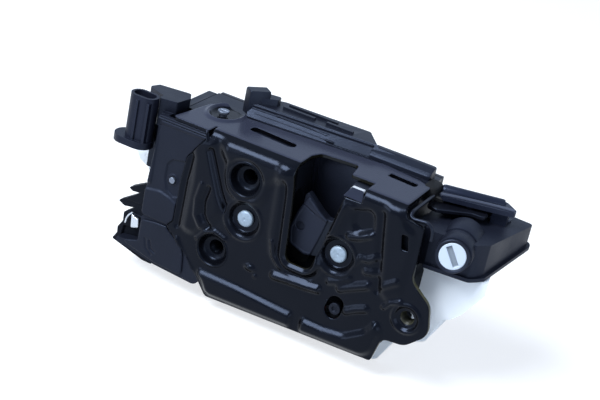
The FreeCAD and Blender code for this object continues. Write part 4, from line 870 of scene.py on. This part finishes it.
# The slot's floor takes the darker second colour, as painted shade in the slot
pressed_sheet("rotor_disc", (-7, 7, -7, 7), 0.14, lambda u, v: ROTOR_RADIUS - np.hypot(u, v),
              lambda u, v: -0.9 * step_up(slot_depth(u, v), 0.18), rotor_fold, 2.3, "rotor_white",
              "key_rotor", ("slotted_rotor",), chamfer=0.25,
              tone=lambda u, v: step_up(slot_depth(u, v), 0.25), rim_tone=0.0)
lathe("rotor_shaft",
      [(0.05, 2.2), (4.9, 2.2), (4.9, 9.0), (4.6, 9.3), (1.8, 9.3), (1.8, 20.0), (0.05, 20.0)],
      ROTOR_FACE, -ROTOR_AXIS, "white_rotor_plastic", "key_rotor", turns=48)


# Left panel with its relief, and the lobe of the lower guard

PANEL = rounded([(-48.4, 12), (-22.6, 12), (-22.6, -38, 2), (-51, -38, 2), (-51, -24, 3)])
PANEL_PIN = (-37.6, -15.2)
PANEL_PIN_HOLE = 1.65
PLATE_GAP = 0.3
BULGE = rounded([(-52, -24.2), (-48.8, -23.9), (-43.3, -22.8, 6), (-37.4, -24.2, 8), (-31.4, -27.4, 3),
                 (-33.5, -35.8, 3), (-37.4, -39.5), (-52, -41)])
PIN_FIELD = rounded([(-39.2, -5.2, 1), (-41.7, -8.0, 3), (-41.9, -15.6, 6), (-40.3, -21.0, 3),
                     (-36.0, -23.6, 1), (-28, -21), (-28, -3)])
LOBE = rounded([(-60.5, -55.4, 1), (-50.2, -52.2, 2), (-50.4, -40.6, 2), (-42.7, -39.4, 3),
                (-36.6, -39.2, 5), (-31.2, -40.3, 6), (-27.4, -44.5, 5), (-25.2, -50.4, 8),
                (-24.2, -60.8, 2), (-39.6, -60.2, 4)])
LOBE_GROOVES = [
    (bead, [(-44.1, -49.8), (-42.9, -53.7), (-40.4, -54.9)], -0.7, 0.8),
    (bead, [(-46.6, -49.5), (-45.4, -54.2), (-42.0, -56.9)], -0.5, 0.8),
]


def plate_clear(u, v):
    """Distance outside the plate, less the gap that the plastic keeps to it."""
    return -depth_in(u, v, PLATE) - PLATE_GAP


def panel_inside(u, v):
    """The least of the distances inside the panel, clear of the plate and outside the pin's hole."""
    hole = np.hypot(u - PANEL_PIN[0], v - PANEL_PIN[1]) - PANEL_PIN_HOLE
    return np.minimum(np.minimum(depth_in(u, v, PANEL), plate_clear(u, v)), hole)


def panel_lift(u, v):
    """Steps for the border strips, the bulge at the foot and the lower field round the pin's boss."""
    rise = 0.7 * step_up(-48.7 - u, 0.3) * step_up(v + 21, 1)
    rise += 0.5 * step_up(v - 10.4, 0.25)
    rise += pad(u, v, BULGE, 0.9, 0.7)
    rise += pad(u, v, PIN_FIELD, -0.7, 0.35) * step_up(-32 - u, 1.5)
    r = np.hypot(u - PANEL_PIN[0], v - PANEL_PIN[1])
    return rise + 0.4 * (1 - step_up(r - 2.8, 0.3))


pressed_sheet("panel_face", (-52, -22, -39, 13), 0.35, panel_inside, panel_lift, flat_at(0.8), 2.2,
              "panel_plastic", replaced=("left_panel",))
WALL = rounded([(-51, -36), (-49, -36), (-49, 8), (-51, 8)])
pressed_sheet("panel_wall", (-52, -48, -37, 9), 0.5, within(WALL), unpressed, flat_at(2.8), 0.5,
              "panel_plastic", chamfer=0.1)
LIP = rounded([(-50.2, 12.4), (-22.9, 12.4), (-22.9, 14.3, 0.3), (-50.0, 14.3, 0.8)])
pressed_sheet("panel_lip", (-51, -22, 12, 15), 0.3, within(LIP),
              lambda u, v: -0.5 * step_up(0.35 - np.abs(v - 13.3), 0.12), flat_at(0.2), 2.4,
              "panel_plastic", chamfer=0.15)
pressed_sheet("guard_lobe", (-62, -22, -63, -38), 0.4,
              lambda u, v: np.minimum(depth_in(u, v, LOBE), plate_clear(u, v)),
              lambda u, v: pressed(u, v, LOBE_GROOVES), flat_at(-0.2), 1.1, "panel_plastic", chamfer=0.35)


# Housing roof: its sloped front, its step and lump on the right and the clip that stands on it

ROOF_START = np.array((-20.0, 30.1, 16.2))
ROOF_ALONG = np.array((0.9959, 0.0906, 0.0))
ROOF_UP = np.array((-0.0478, 0.5248, 0.8500))
ROOF_OUT = np.array((0.0770, -0.8465, 0.5270))


def roof_fold(u, v, depth):
    """Places a sheet on the roof's sloped front."""
    return (ROOF_START + u[..., None] * ROOF_ALONG + v[..., None] * ROOF_UP
            - np.asarray(depth)[..., None] * ROOF_OUT)


def roof_relief(u, v):
    """Long steps and ridges of the sloped front."""
    rise = 0.5 * step_up(v - 5.4, 0.25) - 0.4 * step_up(4.0 - v, 0.25) * step_up(40 - u, 2)
    rise += bead(u, v, [(3, 2.4), (24, 2.0), (44, 1.2)], 0.5, 0.6)
    return rise + bead(u, v, [(14, 4.6), (30, 4.0), (40, 3.4)], 0.5, 0.6)


FRONT = rounded([(0.6, 0.1), (63, 0.1), (63, 6.6, 1), (0.6, 6.6, 1)])
# Its lowest 1.2 mm takes the near-black second colour, as painted shade at the foot of the slope
pressed_sheet("roof_front_sheet", (0, 64, 0, 7), 0.3, within(FRONT), roof_relief, roof_fold, 0.9,
              "roof_front", chamfer=0.15, tone=lambda u, v: step_up(1.2 - v, 0.4), rim_tone=0.0)
STEP = rounded([(35.3, 14.6), (35.3, 18.0, 0.8), (37.0, 19.4, 1.2), (40.6, 20.9, 1.2), (43.9, 20.9, 1.2),
                (43.9, 14.6)], 4)
step_rows = tapered(STEP, 42.6, 73.2, (0, 0.94, 0.975, 0.993, 1.0), (1, 1, 0.96, 0.88, 0.72))
loft("roof_step", along_x(step_rows)[::-1], "black_plastic")

# The lump's narrow neck stands beside the inner lever, and its foot starts above it
LUMP = rounded([(73.2, 28.0, 1.5), (79.8, 28.0, 2.5), (79.8, 38.6, 2.5), (73.2, 40.4, 1.5)], 4)
FOOT = rounded([(78.0, 30.0, 1.0), (83.6, 30.0, 1.5), (83.6, 36.4, 1.5), (78.0, 36.4, 1.0)], 4)
HIGH = rounded([(-25.3, 34.6, 0.6), (-20.7, 31.2, 0.6), (-13.5, 38.6, 0.6), (-18.2, 42.6, 0.6)], 3)
LOW = rounded([(-17.0, 35.0, 0.6), (-10.0, 40.2, 0.8), (-10.8, 45.2, 0.8), (-18.0, 43.8, 0.6)], 3)
stud("roof_lump", LUMP, 8.0, 16.8, (0, 0.30, 0.34, 0.86, 0.95, 1.0), (0.46, 0.46, 1, 1, 0.93, 0.78),
     "soft_rubber")
stud("roof_lump_foot", FOOT, 10.9, 13.0, (0, 0.7, 1.0), (1, 1, 0.86), "soft_rubber")
stud("clip_high", HIGH, 16.4, 28.5, (0, 0.96, 1.0), (1, 1, 0.93), "black_plastic", ("top_clip",))
stud("clip_low", LOW, 16.4, 25.2, (0, 0.95, 1.0), (1, 1, 0.93), "black_plastic")


# Seal line beside the plate, the hood's tube and the rib on the side box


tube("seal_edge",
     [(79.4, 27.5, 13.6), (79.3, 16, 13.6), (79.0, 5, 13.3), (79.2, 3.2, 11.6), (81, 3.0, 11.0),
      (84, 3.0, 11.4), (87.2, 3.0, 11.8), (89.6, 3.0, 10.6), (90.8, 3.0, 8.2), (90.9, 3.0, 4.5)],
     0.9, "lever_plastic")
lathe("hood_tube",
      [(0.05, -2.8), (1.3, -2.5), (2.1, -1.8), (2.6, -0.9), (2.8, 0), (2.8, 26.6), (2.4, 27.4), (0.05, 27.6)],
      (80.9, 38.6, 13.5), (27, 8.6, -0.2), "hood_plastic", turns=40)
STREAK = rounded([(100.4, 44.6, 0.4), (111.1, 46.4, 0.4), (111.3, 50.6, 0.4), (102.1, 48.8, 0.4)], 2)
stud("box_rib", STREAK, 5.0, 7.0, (0, 0.8, 1.0), (1, 1, 0.9), "hood_plastic")


# Toothed cable guard at the lower left, with its bright clip

TEETH = rounded([(-51.9, -23.7), (-62.9, -30.1, 0.4), (-60.4, -31.3, 0.5), (-56.4, -30.8), (-59.5, -33.3),
                 (-67.8, -39.1, 0.4), (-64.0, -40.8, 0.5), (-58.4, -39.7), (-63.5, -43.7, 1),
                 (-63.3, -48.3, 1), (-65.8, -52.7, 1), (-65.6, -55.9, 1), (-67.9, -59.9, 0.6),
                 (-49.3, -64.8, 2), (-44, -64.9), (-44, -30)])
HOLLOW = rounded([(-62.2, -50.6, 1), (-52.6, -50.2, 1), (-52.6, -58.0, 1), (-62.8, -56.6, 1)])


def guard_lift(u, v):
    """Sunken hollow at the foot, and a lower band between the second and the third tooth."""
    return pad(u, v, HOLLOW, -1.2, 0.4) - 0.5 * step_up(v + 42.6, 0.3) * step_up(-36.5 - v, 0.3)


pressed_sheet("cable_guard_face", (-69, -43, -66, -23), 0.3, within(TEETH), guard_lift, flat_at(5.2), 4.2,
              "frame_black", replaced=("cable_clip",), chamfer=0.25, flat_back=True)
CLIP = rounded([(-58.0, -42.2, 0.5), (-53.6, -43.4, 0.5), (-53.1, -47.6, 0.5), (-57.4, -49.4, 0.5)])
pressed_sheet("spring_clip_face", (-59, -52, -50, -41), 0.25, within(CLIP),
              lambda u, v: 0.5 * step_up(u + 56.4 + 0.1 * (v + 45), 0.3), flat_at(3.4), 1.4,
              "bright_steel_clip", replaced=("spring_clip",), chamfer=0.2)
tube("spring_clip_hook",
     [(-57.6, 3.8, -41.2), (-59.6, 3.8, -43.4), (-60.6, 3.8, -45.6), (-60.9, 3.8, -48.0)],
     0.45, "bright_steel_clip")


# Barrel of the side box, with the rotor's ring, and the ridge on the hood

BARREL_FRONT = np.array((101.0, 8.0, 0.4))
BARREL_RUN = unit((-0.13, 0.99, 0.08))
BARREL_BORE = 7.2


def barrel_ring(name, radius, start, end):
    """Band round the barrel from start to end along it, with rounded edges."""
    profile = [(BARREL_BORE, start), (radius - 0.5, start), (radius - 0.15, start + 0.15),
               (radius, start + 0.5), (radius, end - 0.5), (radius - 0.15, end - 0.15),
               (radius - 0.5, end), (BARREL_BORE, end)]
    lathe(name, profile, BARREL_FRONT, BARREL_RUN, "side_box_plastic", turns=72)


barrel_ring("barrel_front_band", 8.35, -0.3, 5.6)
barrel_ring("barrel_rear_band", 8.7, 8.2, 19.7)
lathe("rotor_ring", [(6.15, 0.35), (6.6, -0.1), (7.3, -0.25), (7.7, 0.1), (7.7, 2.9), (6.15, 2.9)],
      ROTOR_FACE, -ROTOR_AXIS, "side_box_plastic", turns=72)
RIDGE_HEIGHT = 14.1
RIDGE = [(81.6, 31.0), (85.5, 32.9), (90, 34.9), (98, 38.0), (106, 40.8), (110.5, 42.0), (113.2, 42.6)]
# The ridge takes the lighter copy of the hood's plastic, as a painted highlight along it
rib("hood_ridge", [(x, y, RIDGE_HEIGHT) for x, y in RIDGE], 1.6, 1.0, "hood_painted_highlight")


# Rivets: a domed head with a pressed ring and a centre mark, a neck, a bearing shoulder and a tail

RIVET = [(0.02, 1.45), (0.35, 1.35), (0.6, 1.2), (1.5, 1.14), (1.9, 1.22), (2.3, 1.16), (3.2, 1.3),
         (3.7, 1.5), (4.0, 1.95), (4.0, 2.9), (3.7, 3.2), (3.0, 3.2), (3.0, 5.2), (5.0, 5.2), (5.0, 17.3),
         (3.0, 17.3), (3.0, 19.3), (4.0, 19.3), (4.0, 19.8), (0.02, 19.8)]
for node, (x, z) in zip(("pawl_rivet", "claw_rivet"), RIVETS):
    lathe(node + "_head", RIVET, (x, 0, z), REARWARD, "zinc_steel", replaced=(node,))


# Rounded copies of the moulded and cut parts

for node in ("actuator_housing", "side_block", "connector_socket", "side_housing", "cable_bracket",
             "inner_lever", "rear_cover", "lower_guard", "claw_core", "panel_pin", "flange_screw",
             "plate_screw", "latch_frame", "cover_screws"):
    softened(node)


# Camera, light and stage

def stand(name, data, right, up, back, place):
    """Object at a place in the scene, with its own x, y and z along right, up and back."""
    thing = bpy.data.objects.new(name, data)
    rows = [[right[i], up[i], back[i], place[i]] for i in range(3)]
    thing.matrix_world = Matrix(rows + [[0, 0, 0, 1]])
    bpy.context.scene.collection.objects.link(thing)
    return thing


RIGHT = (0.86878674, 0.45688785, 0.19095313)
UP = (-0.35111052, 0.29644413, 0.88816793)
BACK = (0.3491862, -0.83867418, 0.41796486)
EYE = (0.25157, -0.53669, 0.26809)

lens = bpy.data.cameras.new("camera")
lens.lens = 85.8
lens.sensor_width = 36.0
lens.clip_start = 0.01
bpy.context.scene.camera = stand("camera", lens, RIGHT, UP, BACK, EYE)

LAMP_COLOUR = (0.90, 0.95, 1.0)


def soft_lamp(name, place, aim, size, watts):
    """Square lamp at a place, turned to an aim."""
    lamp = bpy.data.lights.new(name, "AREA")
    lamp.shape = "SQUARE"
    lamp.size = size
    lamp.energy = watts
    lamp.color = LAMP_COLOUR
    side, up, away = frame_of(np.array(place) - np.array(aim))
    stand(name, lamp, side, up, away, place)


soft_lamp("key", (-0.38, -0.58, 0.88), (0.02, 0, 0), 0.6, 24.0)
soft_lamp("front_fill", (-0.75, -0.9, 0.25), (0.02, 0, 0), 0.5, 3.2)
soft_lamp("right_fill", (1.0, -0.5, 0.25), (0.05, 0, 0), 0.6, 2.6)


def background_rays(tree):
    """1 for rays of the camera, of mirrors and of glass, 0 for the rays that light a surface."""
    rays = tree.nodes.new("ShaderNodeLightPath")
    total = rays.outputs["Is Camera Ray"]
    for kind in ("Is Glossy Ray", "Is Transmission Ray"):
        larger = tree.nodes.new("ShaderNodeMath")
        larger.operation = "MAXIMUM"
        tree.links.new(total, larger.inputs[0])
        tree.links.new(rays.outputs[kind], larger.inputs[1])
        total = larger.outputs[0]
    return total


def spread(tree, factor, low, high):
    """Value low + factor (high - low)."""
    node = tree.nodes.new("ShaderNodeMapRange")
    node.inputs["To Min"].default_value = low
    node.inputs["To Max"].default_value = high
    tree.links.new(factor, node.inputs["Value"])
    return node.outputs["Result"]


WORLD_LIGHT, WORLD_SEEN, FLOOR_GLOW = 0.52, 1.05, 0.69
FLOOR_REACH, FLOOR_GAP = 6.0, 0.5 * MM

world = bpy.data.worlds.new("studio")
world.use_nodes = True
bpy.context.scene.world = world
tree = world.node_tree
back_light = tree.nodes["Background"]
tree.links.new(spread(tree, background_rays(tree), WORLD_LIGHT, WORLD_SEEN), back_light.inputs["Strength"])
back_light.inputs["Color"].default_value = (0.66, 0.79, 1.0, 1)

floor_mesh = bpy.data.meshes.new("floor")
level = cad_box[0][2] - FLOOR_GAP
corners = ((-1, -1), (1, -1), (1, 1), (-1, 1))
floor_mesh.from_pydata([(x * FLOOR_REACH, y * FLOOR_REACH, level) for x, y in corners], [], [(0, 1, 2, 3)])
floor = bpy.data.objects.new("floor", floor_mesh)
bpy.context.scene.collection.objects.link(floor)
pale = finish("pale_floor", (170, 172, 174), 0.9, mottle=0.005, relief=0.0, patch=2.0, specular=0.0)
tree = pale.node_tree
glow = tree.nodes.new("ShaderNodeEmission")
glow.inputs["Color"].default_value = (0.97, 0.98, 1.0, 1)
tree.links.new(spread(tree, background_rays(tree), 0.0, FLOOR_GLOW), glow.inputs["Strength"])
both = tree.nodes.new("ShaderNodeAddShader")
tree.links.new(tree.nodes["Principled BSDF"].outputs["BSDF"], both.inputs[0])
tree.links.new(glow.outputs["Emission"], both.inputs[1])
tree.links.new(both.outputs["Shader"], tree.nodes["Material Output"].inputs["Surface"])
floor_mesh.materials.append(pale)

bpy.context.scene.view_settings.view_transform = "Standard"
